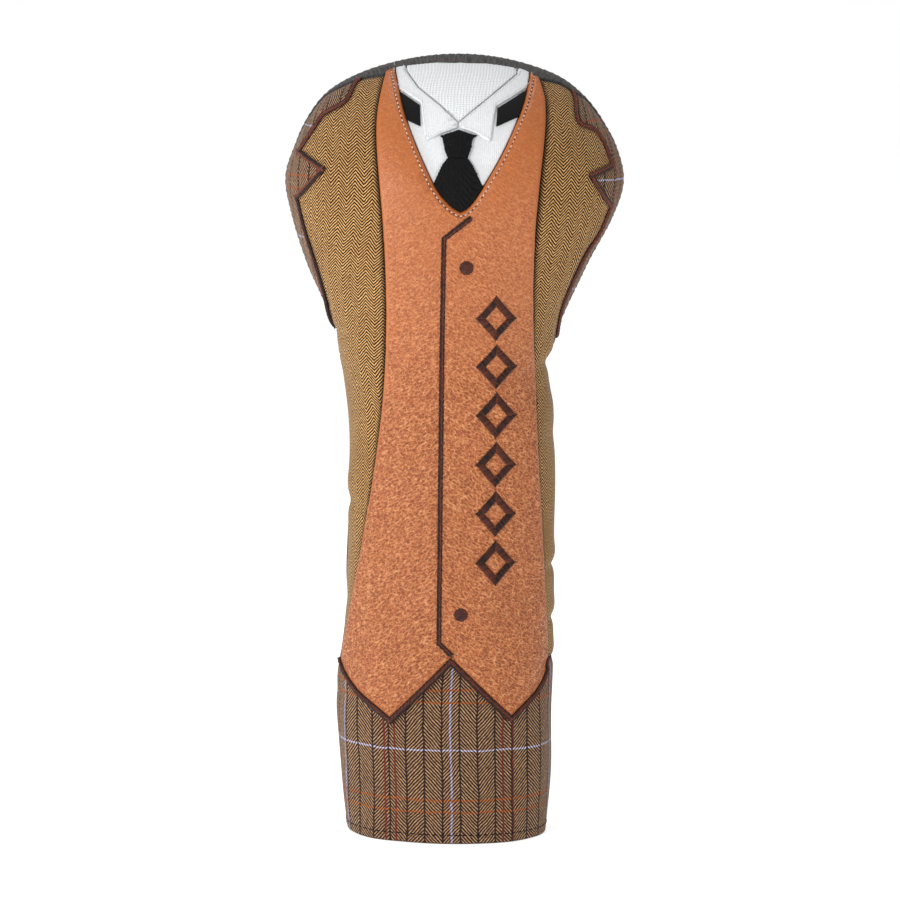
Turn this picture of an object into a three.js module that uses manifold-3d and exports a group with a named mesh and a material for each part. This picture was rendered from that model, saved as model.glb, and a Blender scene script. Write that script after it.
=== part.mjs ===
// Headcover for a fairway wood, sewn as a tweed jacket over a leather waistcoat, shirt and tie.
// Millimetres, +Z up. The front faces -Y and the open mouth's hem stands on Z = 0.
// Every sewn piece is a tile cut from a thin layer that follows the stuffed body's surface.
import * as THREE from 'three';
import { mergeVertices } from 'three/addons/utils/BufferGeometryUtils.js';
import Module from 'manifold-3d';

const wasm = await Module();
wasm.setup();

// Driving dimensions.
const SEGMENTS = 24; // points round one cross-section
const ROUNDNESS = 2.3; // superellipse exponent of the cross-sections
const GAP = 0.3; // clearance between neighbouring pieces
const WAIST_SEAM = 77; // height of the seam between the jacket and the plaid hem band
const THROAT_SEAM = 203; // height of the seam between the neck and the head pocket
const FACING_HEIGHT = 24; // cloth turned up inside the hem
const CORD_WIDTH = 2.3; // satin-stitched edging
const PLACKET_WIDTH = 2.2;
const BUTTON_RADIUS = 2.9;
const FAR = 100; // reaches past the body on every side

// The stuffed body at each height: [z, half width, front depth, back depth, sideways shift].
const STATIONS = [
  [0, 42.5, 29, 28.5, 1.2],
  [20, 44.4, 30.8, 29.8, 0.9],
  [60, 45.8, 31.5, 30.5, -0.3],
  [88, 44.4, 31, 30, 0.6],
  [150, 43.5, 31, 30.5, 1.2],
  [182, 43.1, 32.2, 31.8, -0.2],
  [200, 43.4, 33.8, 33.4, -2.9],
  [218, 47.7, 37, 36.8, -2.9],
  [240, 57.4, 42.5, 42.5, -3],
  [262, 66.5, 45.5, 45.5, -0.7],
  [277, 70, 45, 45, 0],
  [290, 67, 41.8, 41.8, 0.3],
  [302, 60.7, 36.4, 36.4, -0.3],
  [313, 51.7, 28.2, 28.2, -0.2],
  [320, 40.8, 20.4, 20.4, 1.2],
  [325, 26.2, 12.4, 12.4, 1.8],
  [328, 8, 3.6, 3.6, 2.6],
];
const [CROWN_BASE, CROWN_WIDTH, CROWN_DEPTH] = STATIONS.find(([z]) => z === 277);
const HEIGHT = STATIONS.at(-1)[0];

// How far each layer's faces stand out from the body's surface: [inner, outer].
const LAYER = {
  cloth: [-1.2, 0],
  leather: [-1.2, 2.4],
  edging: [-1.2, 1.4],
  waistcoatEdging: [-1.2, 2.9],
  shirt: [-1.2, 0.3],
  shirtFront: [0.6, 1.3],
  collar: [0.6, 1.8],
  onLeather: [2.7, 3.7],
  padding: [-4.7, -1.5],
  elastic: [-2.5, -1.5],
  throatWadding: [-4.7, -2.8],
  facing: [-4.2, -1.5],
  lining: [-7, -5],
  hemLining: [-7, -4.5],
};

const X = new THREE.Vector3(1, 0, 0);
const Y = new THREE.Vector3(0, 1, 0);
const Z = new THREE.Vector3(0, 0, 1);

// Solids -------------------------------------------------------------------------------------

function toSolid(geometry) {
  geometry.deleteAttribute('normal');
  geometry.deleteAttribute('uv');
  const merged = mergeVertices(geometry, 1e-4);
  return new wasm.Manifold(new wasm.Mesh({
    numProp: 3,
    vertProperties: Float32Array.from(merged.attributes.position.array),
    triVerts: Uint32Array.from(merged.index.array),
  }));
}

function toGeometry(solid) {
  const mesh = solid.getMesh();
  const geometry = new THREE.BufferGeometry();
  geometry.setAttribute('position', new THREE.BufferAttribute(mesh.vertProperties, 3));
  geometry.setIndex(new THREE.BufferAttribute(mesh.triVerts, 1));
  geometry.computeVertexNormals();
  return geometry;
}

// One ring of the body, moved out by the offset. Over the crown the ring is scaled towards the
// head's middle instead, so that a layer keeps its thickness on top.
function ring([z, width, front, back, shift], offset) {
  const onCrown = z > CROWN_BASE;
  const across = onCrown ? (CROWN_WIDTH + offset) / CROWN_WIDTH : 1;
  const deep = onCrown ? (CROWN_DEPTH + offset) / CROWN_DEPTH : 1;
  const tall = onCrown ? (HEIGHT - CROWN_BASE + offset) / (HEIGHT - CROWN_BASE) : 1;
  const side = onCrown ? 0 : offset;
  const points = [];
  for (let i = 0; i < SEGMENTS; i += 1) {
    const angle = (2 * Math.PI * i) / SEGMENTS;
    const cos = Math.cos(angle);
    const sin = Math.sin(angle);
    const depth = sin < 0 ? front : back;
    points.push(new THREE.Vector3(
      shift + (width * across + side) * Math.sign(cos) * Math.abs(cos) ** (2 / ROUNDNESS),
      (depth * deep + side) * Math.sign(sin) * Math.abs(sin) ** (2 / ROUNDNESS),
      CROWN_BASE + (z - CROWN_BASE) * tall,
    ));
  }
  return points;
}

// The closed body at an offset. It can be carried on below the hem, to cut a mouth.
function body(offset, below = 0) {
  const rings = STATIONS.map((station) => ring(station, offset));
  if (below > 0) {
    rings.unshift(rings[0].map((point) => point.clone().setZ(-below)));
  }
  const positions = rings.flat().flatMap((point) => point.toArray());
  const index = [];
  for (let level = 0; level + 1 < rings.length; level += 1) {
    for (let i = 0; i < SEGMENTS; i += 1) {
      const a = level * SEGMENTS + i;
      const b = level * SEGMENTS + ((i + 1) % SEGMENTS);
      index.push(a, b, b + SEGMENTS, a, b + SEGMENTS, a + SEGMENTS);
    }
  }
  const last = (rings.length - 1) * SEGMENTS;
  for (let i = 1; i + 1 < SEGMENTS; i += 1) {
    index.push(0, i + 1, i, last, last + i, last + i + 1);
  }
  const geometry = new THREE.BufferGeometry();
  geometry.setAttribute('position', new THREE.Float32BufferAttribute(positions, 3));
  geometry.setIndex(index);
  return toSolid(geometry);
}

const bodies = new Map();
function bodyAt(offset, below = 0) {
  const key = `${offset}/${below}`;
  if (!bodies.has(key)) {
    bodies.set(key, body(offset, below));
  }
  return bodies.get(key);
}

function shell([inner, outer]) {
  return bodyAt(outer).subtract(bodyAt(inner, 10));
}

// An outline in a plane, extruded along the plane's normal from one distance to another.
function prism(outline, right, up, from, to) {
  const shape = new THREE.Shape(outline.map(([a, b]) => new THREE.Vector2(a, b)));
  const geometry = new THREE.ExtrudeGeometry(shape, { depth: to - from, bevelEnabled: false });
  geometry.translate(0, 0, from);
  const normal = new THREE.Vector3().crossVectors(right, up);
  geometry.applyMatrix4(new THREE.Matrix4().makeBasis(right, up, normal));
  return toSolid(geometry);
}

// Front outlines are drawn in X and Z, as the front is seen; side outlines in Y and Z.
const frontPrism = (outline) => prism(outline, X, Z, 0, FAR);
const sidePrism = (outline) => prism(outline, Y, Z, -FAR, FAR);

function slice(bottom, top) {
  return sidePrism([[-FAR, bottom], [FAR, bottom], [FAR, top], [-FAR, top]]);
}

// Outlines -----------------------------------------------------------------------------------

function smooth(points, steps) {
  const curve = new THREE.SplineCurve(points.map(([x, z]) => new THREE.Vector2(x, z)));
  return curve.getPoints(steps).map((point) => point.toArray());
}

// The line moved to its left by a distance, with mitred corners.
function offsetLine(points, distance, closed = false) {
  const count = points.length;
  return points.map((point, i) => {
    const before = closed ? points[(i + count - 1) % count] : points[Math.max(i - 1, 0)];
    const after = closed ? points[(i + 1) % count] : points[Math.min(i + 1, count - 1)];
    const into = new THREE.Vector2(point[0] - before[0], point[1] - before[1]).normalize();
    const out = new THREE.Vector2(after[0] - point[0], after[1] - point[1]).normalize();
    const first = into.lengthSq() > 0 ? into : out;
    const second = out.lengthSq() > 0 ? out : into;
    const mitre = new THREE.Vector2(-first.y - second.y, first.x + second.x).normalize();
    const reach = distance / Math.max(mitre.dot(new THREE.Vector2(-first.y, first.x)), 0.3);
    return [point[0] + mitre.x * reach, point[1] + mitre.y * reach];
  });
}

function grown(outline, distance) {
  const turns = THREE.ShapeUtils.isClockWise(outline.map(([x, y]) => new THREE.Vector2(x, y)));
  return offsetLine(outline, turns ? distance : -distance, true);
}

function band(line, width) {
  return [...offsetLine(line, width / 2), ...offsetLine(line, -width / 2).reverse()];
}

function circle(x, z, radius, count = 16) {
  return Array.from({ length: count }, (_, i) => {
    const angle = (2 * Math.PI * i) / count;
    return [x + radius * Math.cos(angle), z + radius * Math.sin(angle)];
  });
}

const SKY = HEIGHT + 20;

const neckline = [
  [-24.8, SKY],
  ...smooth([[-24.7, 321], [-19.4, 301.8], [-9.2, 279.2], [-2.6, 270.3], [2.5, 266.8]], 10),
  ...smooth([[2.5, 266.8], [7.4, 270.7], [18.4, 289], [26.4, 307.4], [29.5, 320]], 10).slice(1),
  [29.5, SKY],
];

// The waistcoat's pointed hem, from its left side to its right, along the middle of the edging.
const waistcoatHem = [
  [-50, 76], [-43.4, 74], [-42.2, 70.7], [-39.5, 67.1], [-36.1, 63.5], [-22.5, 53.2], [2, 79.2],
  [26.9, 54.4], [37.4, 64.5], [39.9, 68.4], [41.5, 72.4], [41.8, 76.8], [50, 77.8],
];
const hemLine = waistcoatHem.slice(1, -1);

const waistcoat = [
  ...smooth([[-29, 321], [-32.1, 299], [-28.3, 256], [-26.9, 215], [-29, 174], [-36, 122],
    [-43.4, 74]], 14),
  ...hemLine.slice(1),
  ...smooth([[41.8, 76.8], [39.2, 122], [35.6, 172], [33, 217], [33, 260], [36.4, 303], [34.8, 316],
    [32.4, 321]], 14).slice(1),
  [32.4, SKY],
  [-29, SKY],
];

const lapelLeft = [
  [-36.2, SKY], [-36.4, 319.8], [-41.2, 316.6], [-44.1, 310.6], [-46.9, 307.8], [-53.5, 303.9],
  [-57.1, 299], [-60.7, 293.6], [-64.2, 288.2], [-53.5, 282], [-64.8, 269.8], [-61.1, 256.8],
  [-56.4, 243], [-50.6, 222], [-49, 208],
];
const lapelRight = [
  [41.2, SKY], [41.2, 319.4], [45.2, 316.6], [48.7, 312.4], [49.4, 305], [50.6, 302], [56.5, 300],
  [60.4, 295.3], [62.9, 289.7], [64.5, 284.8], [55.4, 281.3], [64.2, 268.5], [59.9, 257.9],
  [53.9, 248.5], [48.6, 236], [44.8, 224], [42.4, 208],
];
const shoulderLeft = [...lapelLeft, [-FAR, 208], [-FAR, SKY]];
const shoulderRight = [...lapelRight, [FAR, 208], [FAR, SKY]];

// How far the leather gusset, which runs over the crown and narrows down both sides, reaches to
// the front and to the back: [depth, height].
const gussetFront = [
  [0, THROAT_SEAM], [0.3, 292], [4, 311], [10, 314.5], [11, 317.5], [15, 319.8], [12.8, 322.5], [13, SKY],
];
const gussetBack = [[0, THROAT_SEAM], [14, 232], [15, 300], [13, 319], [13, SKY]];
const towardFront = gussetFront.map(([y, z]) => [-y, z]);
const gussetOutline = [...gussetBack, ...towardFront.slice(1).reverse()];
const frontSide = [[-FAR, -20], [0, -20], ...towardFront, [-FAR, SKY]];
const backSide = [[0, -20], [FAR, -20], [FAR, SKY], ...gussetBack.slice().reverse()];

const front = sidePrism(grown(frontSide, -0.15));
const back = sidePrism(grown(backSide, -0.15));
const frontHalf = sidePrism([[-FAR, -20], [-0.15, -20], [-0.15, SKY], [-FAR, SKY]]);
const backHalf = sidePrism([[0.15, -20], [FAR, -20], [FAR, SKY], [0.15, SKY]]);

// Materials ----------------------------------------------------------------------------------

const finish = (color, roughness) => new THREE.MeshStandardMaterial({ color, roughness, metalness: 0 });

const material = {
  tanLeather: () => finish(0xcc7f50, 0.5),
  blackLeather: () => finish(0x3a3536, 0.5),
  herringbone: () => finish(0xa98450, 0.9),
  plaid: () => finish(0x7f6450, 0.95),
  whiteCloth: () => finish(0xedeeef, 0.9),
  ribbedCloth: () => finish(0xdcdee0, 0.95),
  blackThread: () => finish(0x1a1a1c, 0.7),
  brownThread: () => finish(0x4a1f16, 0.6),
  foam: () => finish(0xd8d4c8, 0.95),
  fleece: () => finish(0x2b2829, 1),
  elastic: () => finish(0x242223, 0.8),
};

// Assembly -----------------------------------------------------------------------------------

const group = new THREE.Group();

function add(name, solid, finishOf) {
  const mesh = new THREE.Mesh(toGeometry(solid), finishOf());
  mesh.name = name;
  group.add(mesh);
}

// Cutting can leave thin offcuts beside a tile, which aren't sewn in.
function largestPiece(solid) {
  const pieces = solid.decompose();
  return pieces.reduce((best, piece) => (piece.volume() > best.volume() ? piece : best));
}

// A front tile: an outline cut from a layer, less the neighbours it must keep clear of.
function frontTile(layer, outline, ...neighbours) {
  let solid = shell(layer).intersect(front);
  if (outline) {
    solid = solid.intersect(frontPrism(outline));
  }
  for (const neighbour of neighbours) {
    solid = solid.subtract(frontPrism(grown(neighbour, GAP)));
  }
  return largestPiece(solid);
}

const edging = {
  left: band(lapelLeft, CORD_WIDTH),
  right: band(lapelRight, CORD_WIDTH),
  hem: band(waistcoatHem, CORD_WIDTH),
};

function addWaistcoat() {
  const middle = [[-44, 30], [44, 30], [44, SKY], [-44, SKY]];
  const around = [neckline, edging.hem, edging.left, edging.right];
  add('waistcoat_panel', frontTile(LAYER.leather, waistcoat, ...around)
    .intersect(frontPrism(middle)), material.tanLeather);
  add('waistcoat_hem_edging', frontTile(LAYER.waistcoatEdging, edging.hem)
    .intersect(frontPrism([[-43.4, 20], [41.8, 20], [41.8, 100], [-43.4, 100]])),
  material.brownThread);
  const placket = [[6.2, 264.2], [-3.9, 256.2], [-4, 213], [-3.3, 122], [-3.1, 87], [1.6, 82.4]];
  add('placket_edging', frontTile(LAYER.onLeather, band(placket, PLACKET_WIDTH)), material.brownThread);
  add('button_upper', frontTile(LAYER.onLeather, circle(5.2, 244.7, BUTTON_RADIUS)), material.brownThread);
  add('button_lower', frontTile(LAYER.onLeather, circle(5.6, 99.3, BUTTON_RADIUS)), material.brownThread);
}

// A plain chain of stitched diamonds stands where the waistcoat is decorated.
function addDiamonds() {
  const count = 6;
  const bottom = 121;
  const pitch = 20.6;
  const halfWidth = 8;
  const halfHeight = 9.6;
  const lean = 0.018; // the chain follows the waistcoat's right edge
  for (let i = 0; i < count; i += 1) {
    const z = bottom + pitch * i;
    const x = 19 - lean * (z - bottom);
    const diamond = (size) => [
      [x + size * halfWidth, z], [x, z + size * halfHeight],
      [x - size * halfWidth, z], [x, z - size * halfHeight],
    ];
    const bars = frontTile(LAYER.onLeather, diamond(1)).subtract(frontPrism(diamond(0.5)));
    add(`stitched_diamond_${i + 1}`, bars, material.brownThread);
  }
}

function addShirtAndTie() {
  const knot = [
    [1.1, 298.9], [-6.2, 296.5], [-5.2, 295.7], [-4.2, 291], [-3, 288], [5, 288], [6.2, 291.5],
    [7, 295.9], [8.6, 296.7],
  ];
  const blade = [
    [-3, 287.7], [-5.1, 285.3], [-6.8, 281.6], [-7.8, 277.6], [-2.6, 269], [2.5, 265.5], [7.4, 269],
    [10.2, 276.2], [8.8, 281.9], [6.9, 285.5], [5, 287.7],
  ];
  const collarLeft = [
    [-26, 321.6], [-26, 315.9], [-14.3, 308.9], [-13.9, 305.8], [-12.7, 297.3], [-11.3, 294.7],
    [-5.3, 297.5], [1, 299.8], [1, 301.7], [-6.4, 308.2], [-15.4, 314.8], [-20.6, 321.2],
    [-22.6, SKY], [-26, SKY],
  ];
  const collarRight = [
    [1.4, 301.7], [1.4, 299.8], [8.1, 297.5], [13.5, 294.4], [14.4, 295.5], [15.4, 303.7],
    [16.2, 308.1], [31, 317.2], [31, SKY], [28, SKY], [24.6, 320.6], [13, 311.3],
  ];
  const innerCollar = [[1.2, 302.3], [13, 311.9], [24.3, 321.1], [27.2, SKY], [-21.8, SKY],
    [-20.1, 321.6], [-15, 315.3], [-6.2, 308.7]];
  const braceLeft = [[-26, 315.3], [-14.6, 308.4], [-14.1, 300.1], [-21, 303]];
  const braceRight = [[31, 316.6], [16.6, 307.6], [16.2, 300.4], [28, 305.6]];
  const inOpening = frontPrism(neckline);
  const shirtTile = (layer, outline, ...neighbours) => largestPiece(
    frontTile(layer, outline, ...neighbours).intersect(inOpening),
  );
  add('shirt_front', shirtTile(LAYER.shirt), material.whiteCloth);
  add('inner_collar', shirtTile(LAYER.shirtFront, innerCollar), material.ribbedCloth);
  add('collar_flap_left', shirtTile(LAYER.collar, collarLeft), material.whiteCloth);
  add('collar_flap_right', shirtTile(LAYER.collar, collarRight), material.whiteCloth);
  add('brace_left', shirtTile(LAYER.shirtFront, braceLeft, collarLeft), material.blackThread);
  add('brace_right', shirtTile(LAYER.shirtFront, braceRight, collarRight), material.blackThread);
  add('tie_knot', shirtTile(LAYER.collar, knot, collarLeft, collarRight), material.blackThread);
  add('tie_blade', shirtTile(LAYER.shirtFront, blade), material.blackThread);
}

function addJacket() {
  const jacket = { left: [[-FAR, WAIST_SEAM + 0.15], [0, WAIST_SEAM + 0.15], [0, SKY], [-FAR, SKY]] };
  jacket.right = jacket.left.map(([x, z]) => [-x, z]).reverse();
  const sides = [
    ['left', jacket.left, shoulderLeft, edging.left],
    ['right', jacket.right, shoulderRight, edging.right],
  ];
  for (const [side, outline, shoulder, lapel] of sides) {
    const inside = [neckline, waistcoat, shoulder, lapel, edging.hem];
    add(`jacket_front_${side}`, frontTile(LAYER.cloth, outline, ...inside), material.herringbone);
    add(`shoulder_${side}`, frontTile(LAYER.cloth, shoulder, lapel), material.plaid);
    add(`lapel_edging_${side}`, frontTile(LAYER.edging, lapel), material.brownThread);
  }
  const below = [[-FAR, -20], [FAR, -20], [FAR, WAIST_SEAM - 0.15], [-FAR, WAIST_SEAM - 0.15]];
  add('hem_band_front', frontTile(LAYER.cloth, below, waistcoat, edging.hem), material.plaid);
  const cloth = shell(LAYER.cloth);
  add('crown_gusset', cloth.intersect(sidePrism(gussetOutline)), material.blackLeather);
  const backCloth = cloth.intersect(back);
  add('back_head_panel', backCloth.intersect(slice(THROAT_SEAM + 0.15, SKY)), material.plaid);
  add('back_neck_panel', backCloth.intersect(slice(WAIST_SEAM + 0.15, THROAT_SEAM - 0.15)),
    material.herringbone);
  add('hem_band_back', backCloth.intersect(slice(-20, WAIST_SEAM - 0.15)), material.plaid);
}

function addInside() {
  const headPart = slice(THROAT_SEAM + 0.15, SKY);
  const neckPart = slice(FACING_HEIGHT + GAP, THROAT_SEAM - 0.15);
  const hemPart = slice(-20, FACING_HEIGHT);
  const padding = shell(LAYER.padding);
  add('head_padding_front', padding.intersect(headPart).intersect(frontHalf), material.foam);
  add('head_padding_back', padding.intersect(headPart).intersect(backHalf), material.foam);
  add('neck_padding_front', padding.intersect(neckPart).intersect(frontHalf), material.foam);
  add('neck_padding_back', shell(LAYER.throatWadding).intersect(neckPart).intersect(backHalf),
    material.foam);
  const elastic = shell(LAYER.elastic).intersect(backHalf);
  const rows = [['upper', 192], ['middle', 142], ['lower', 96]];
  for (const [name, z] of rows) {
    add(`throat_elastic_${name}`, elastic.intersect(slice(z - 5, z + 5)), material.elastic);
  }
  const facing = shell(LAYER.facing).intersect(hemPart);
  add('hem_facing_front', facing.intersect(frontHalf), material.plaid);
  add('hem_facing_back', facing.intersect(backHalf), material.plaid);
  const lining = shell(LAYER.lining).intersect(slice(FACING_HEIGHT + GAP, SKY));
  add('lining_front', lining.intersect(frontHalf), material.fleece);
  add('lining_back', lining.intersect(backHalf), material.fleece);
  const hemLining = shell(LAYER.hemLining).intersect(slice(4, FACING_HEIGHT));
  add('hem_lining', hemLining, material.fleece);
}

addWaistcoat();
addDiamonds();
addShirtAndTie();
addJacket();
addInside();

// The stitching on the waistcoat stands proud of the front only, so the whole is set back by half
// of that: the origin is then the middle of the overall size, on the hem's plane.
group.position.y = LAYER.onLeather[1] / 2;

export default group;
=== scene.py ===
"""A fairway wood's headcover, sewn as a tweed jacket over a leather waistcoat, a shirt and a tie.

Lengths are millimetres until a mesh is made, and metres from there on. The stuffed cover is one
smooth body. Each sewn piece is a patch of that body between its seams, raised or sunk by its own
thickness, and each row of thread is laid along a line on it.
"""
import math

import bpy
import numpy as np
from mathutils import Matrix, Vector, kdtree
from mathutils.geometry import delaunay_2d_cdt


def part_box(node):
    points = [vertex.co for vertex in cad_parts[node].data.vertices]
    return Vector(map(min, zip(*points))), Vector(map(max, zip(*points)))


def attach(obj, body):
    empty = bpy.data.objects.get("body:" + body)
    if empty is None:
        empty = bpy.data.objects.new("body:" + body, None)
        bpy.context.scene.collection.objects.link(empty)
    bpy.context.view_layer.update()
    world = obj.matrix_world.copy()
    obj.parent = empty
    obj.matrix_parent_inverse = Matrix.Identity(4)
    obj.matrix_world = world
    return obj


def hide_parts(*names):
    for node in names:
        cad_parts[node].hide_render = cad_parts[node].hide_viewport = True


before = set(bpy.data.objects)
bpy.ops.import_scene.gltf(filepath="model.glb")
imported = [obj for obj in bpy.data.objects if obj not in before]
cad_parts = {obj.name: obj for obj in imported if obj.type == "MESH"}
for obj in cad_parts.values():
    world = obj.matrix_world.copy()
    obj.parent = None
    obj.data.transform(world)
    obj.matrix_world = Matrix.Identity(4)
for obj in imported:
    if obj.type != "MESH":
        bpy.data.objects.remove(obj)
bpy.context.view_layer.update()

# The body's middle plane, where the front and back facings meet.
MIDDLE = (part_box("hem_facing_front")[1].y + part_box("hem_facing_back")[0].y) / 2

# Sizes --------------------------------------------------------------------------------------

# Height, half width, depth to the front, depth to the back, and sideways shift.
STATIONS = np.array([
    [0, 42.5, 29, 28.5, 1.2],
    [20, 44.4, 30.8, 29.8, 0.9],
    [60, 45.8, 31.5, 30.5, -0.3],
    [88, 44.4, 31, 30, 0.6],
    [150, 43.5, 31, 30.5, 1.2],
    [182, 43.1, 32.2, 31.8, -0.2],
    [200, 43.4, 33.8, 33.4, -2.9],
    [218, 47.7, 37, 36.8, -2.9],
    [240, 57.4, 42.5, 42.5, -3],
    [262, 66.5, 45.5, 45.5, -0.7],
    [277, 70, 45, 45, 0],
    [290, 67, 41.8, 41.8, 0.3],
    [302, 60.7, 36.4, 36.4, -0.3],
    [313, 51.7, 28.2, 28.2, -0.2],
    [320, 40.8, 20.4, 20.4, 1.2],
    [325, 26.2, 12.4, 12.4, 1.8],
])
CROWN_TOP = 328.4
HEAD_MIDDLE = 262  # the height at which the head is deepest
ROUNDNESS = 2.3  # the power of the body's oval levels: 2 would be an ellipse
HALF_TURN = math.pi / 2
METRE = 1000  # in millimetres

WAIST_SEAM = 77
THROAT_SEAM = 203
FACING_TOP = 24

# How far each layer's inner and outer face lie from the body's surface.
CLOTH = (-1.2, 0)
LEATHER = (-1.2, 2.4)
SHIRT = (-1.2, 0.3)
ON_SHIRT = (0.45, 1.25)
COLLAR = (0.45, 1.5)
PADDING = (-4.7, -1.5)
THIN_PADDING = (-4.7, -2.8)
ELASTIC = (-2.5, -1.5)
FACING = (-4.2, -1.5)
LINING = (-7, -5)
HEM_LINING = (-7, -4.5)


def spline(points, steps):
    """A smooth line through the points, evenly stepped, as the seams' paper pattern has it."""
    points = np.array(points, float)
    line = []
    for k in range(steps + 1):
        at = k / steps * (len(points) - 1)
        i = min(int(at), len(points) - 2)
        w = at - i
        before, a, b, after = (points[min(max(i + j, 0), len(points) - 1)] for j in (-1, 0, 1, 2))
        slope_a, slope_b = (b - before) / 2, (after - a) / 2
        line.append((2 * a - 2 * b + slope_a + slope_b) * w ** 3
                    + (-3 * a + 3 * b - 2 * slope_a - slope_b) * w ** 2 + slope_a * w + a)
    return np.array(line)


ABOVE = 350  # higher than anything on the cover

NECK_LEFT = spline([[-24.7, 321], [-19.4, 301.8], [-9.2, 279.2], [-2.6, 270.3], [2.5, 266.8]], 24)
NECK_RIGHT = spline([[2.5, 266.8], [7.4, 270.7], [18.4, 289], [26.4, 307.4], [29.5, 320]], 24)
NECKLINE = np.vstack([[[-24.8, ABOVE]], NECK_LEFT, NECK_RIGHT[1:], [[29.5, ABOVE]]])

POINTED_HEM = np.array([
    [-43.4, 74], [-42.2, 70.7], [-39.5, 67.1], [-36.1, 63.5], [-22.5, 53.2], [2, 79.2],
    [26.9, 54.4], [37.4, 64.5], [39.9, 68.4], [41.5, 72.4], [41.8, 76.8],
])
WAISTCOAT_LEFT = np.vstack([[[-29, ABOVE]], spline([
    [-29, 321], [-32.1, 299], [-28.3, 256], [-26.9, 215], [-29, 174], [-36, 122], [-43.4, 74],
], 40)])
WAISTCOAT_RIGHT = np.vstack([spline([
    [41.8, 76.8], [39.2, 122], [35.6, 172], [33, 217], [33, 260], [36.4, 303], [34.8, 316],
    [32.4, 321],
], 40), [[32.4, ABOVE]]])
WAISTCOAT = np.vstack([WAISTCOAT_LEFT, POINTED_HEM[1:-1], WAISTCOAT_RIGHT])

LAPEL_LEFT = np.vstack([[[-36.2, ABOVE], [-36.4, 319.8]], spline([
    [-37, 318.8], [-41.2, 316.6], [-44.1, 310.6], [-46.9, 307.8], [-53.5, 303.9], [-57.1, 299],
    [-60.7, 293.6], [-64.2, 288.2],
], 30), [[-53.5, 282]], spline([
    [-64.8, 269.8], [-61.1, 256.8], [-56.4, 243], [-50.6, 222], [-49, 208],
], 20)])
LAPEL_RIGHT = np.vstack([[[41.2, ABOVE], [41.2, 319.4]], spline([
    [42, 318.4], [45.2, 316.6], [48.7, 312.4], [49.4, 305.5], [51, 301.8], [56.5, 299.9],
    [60.4, 295.3], [62.9, 289.7], [64.5, 284.8],
], 30), [[55.4, 281.3]], spline([
    [64.2, 268.5], [59.9, 257.9], [53.9, 248.5], [48.6, 236], [44.8, 224], [42.4, 208],
], 24)])
SHOULDER_LEFT = np.vstack([LAPEL_LEFT, [[-100, 208], [-100, ABOVE]]])
SHOULDER_RIGHT = np.vstack([LAPEL_RIGHT, [[100, 208], [100, ABOVE]]])

COLLAR_LEFT = np.array([
    [-26, 321.6], [-26, 315.9], [-14.3, 308.9], [-13.9, 305.8], [-12.7, 297.3], [-11.3, 294.7],
    [-5.3, 297.5], [1, 299.8], [1, 301.7], [-6.4, 308.2], [-15.4, 314.8], [-20.6, 321.2],
    [-22.6, ABOVE], [-26, ABOVE],
])
COLLAR_RIGHT = np.array([
    [1.4, 301.7], [1.4, 299.8], [8.1, 297.5], [13.5, 294.4], [14.4, 295.5], [15.4, 303.7],
    [16.2, 308.1], [31, 317.2], [31, ABOVE], [28, ABOVE], [24.6, 320.6], [13, 311.3],
])
INNER_COLLAR = np.array([
    [1.2, 302.1], [13, 311.7], [24.4, 320.9], [27.6, ABOVE], [-22.2, ABOVE], [-20.3, 321.4],
    [-15.2, 315.1], [-6.3, 308.5],
])
BRACE_LEFT = np.array([[-26, 315.3], [-14.6, 308.4], [-14.1, 300.1], [-21, 303]])
BRACE_RIGHT = np.array([[31, 316.6], [16.6, 307.6], [16.2, 300.4], [28, 305.6]])
KNOT = np.array([
    [1.1, 298.9], [-6.2, 296.5], [-5.2, 295.7], [-4.2, 291], [-3, 288], [5, 288], [6.2, 291.5],
    [7, 295.9], [8.6, 296.7],
])
BLADE = np.array([
    [-3, 288], [-5.1, 285.3], [-6.8, 281.6], [-7.9, 277.7], [-5.4, 273.8], [-2.5, 270.5],
    [2.5, 267.1], [7.1, 270.7], [8.9, 273.4], [10.4, 276.1], [8.8, 281.9], [6.9, 285.5], [5, 288],
])
# The tie's ground runs out under the waistcoat's edge, where the stitches above end.
BLADE_GROUND = np.vstack([BLADE[:3], [
    [-8.4, 278.2], [-8.6, 274], [-5, 269], [2.5, 264.5], [9.5, 269], [12, 273.5], [11.4, 277],
], BLADE[10:]])
PLACKET = np.array([[6.2, 264.2], [-3.9, 256.2], [-4, 213], [-3.3, 122], [-3.1, 87], [1.6, 82.4]])
BUTTONS = {"upper": (5.2, 244.7), "lower": (5.6, 99.3)}
BUTTON_RADIUS = 2.9

# How far the leather strip over the crown reaches to the front and to the back, by height.
GUSSET_REACH = {
    False: ([THROAT_SEAM, 214, 240, 270, 292, 311, 314.5, 317.5, 319.8, 322.5, ABOVE],
            [0, 2.4, 1.9, 1.0, 0.3, 4, 10, 11, 15, 12.8, 13]),
    True: ([THROAT_SEAM, 232, 300, 319, ABOVE], [0, 14, 15, 13, 13]),
}

# Where the elastic nips the neck's two sides: which side, height, depth and spread. NIP_REACH is
# how far round each side a nip goes, ROW_DEPTH how far the elastic rows sink behind, and GATHERS
# how many folds a row would have all round the body.
NIPS = [
    (1, 202, 1.5, 3.2), (1, 171, 0.5, 5), (1, 116, 1.3, 2.6), (1, 93, 1.1, 2.4), (1, 76, 0.8, 2.2),
    (-1, 214, 1.0, 3.2), (-1, 142, 1.1, 3.4), (-1, 100, 0.5, 5), (-1, 60, 0.4, 4),
]
NIP_REACH = 0.16
ELASTIC_ROWS = {"upper": 192, "middle": 142, "lower": 96}
ROW_DEPTH, GATHER_DEPTH, GATHERS = 1.2, 0.8, 33
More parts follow.
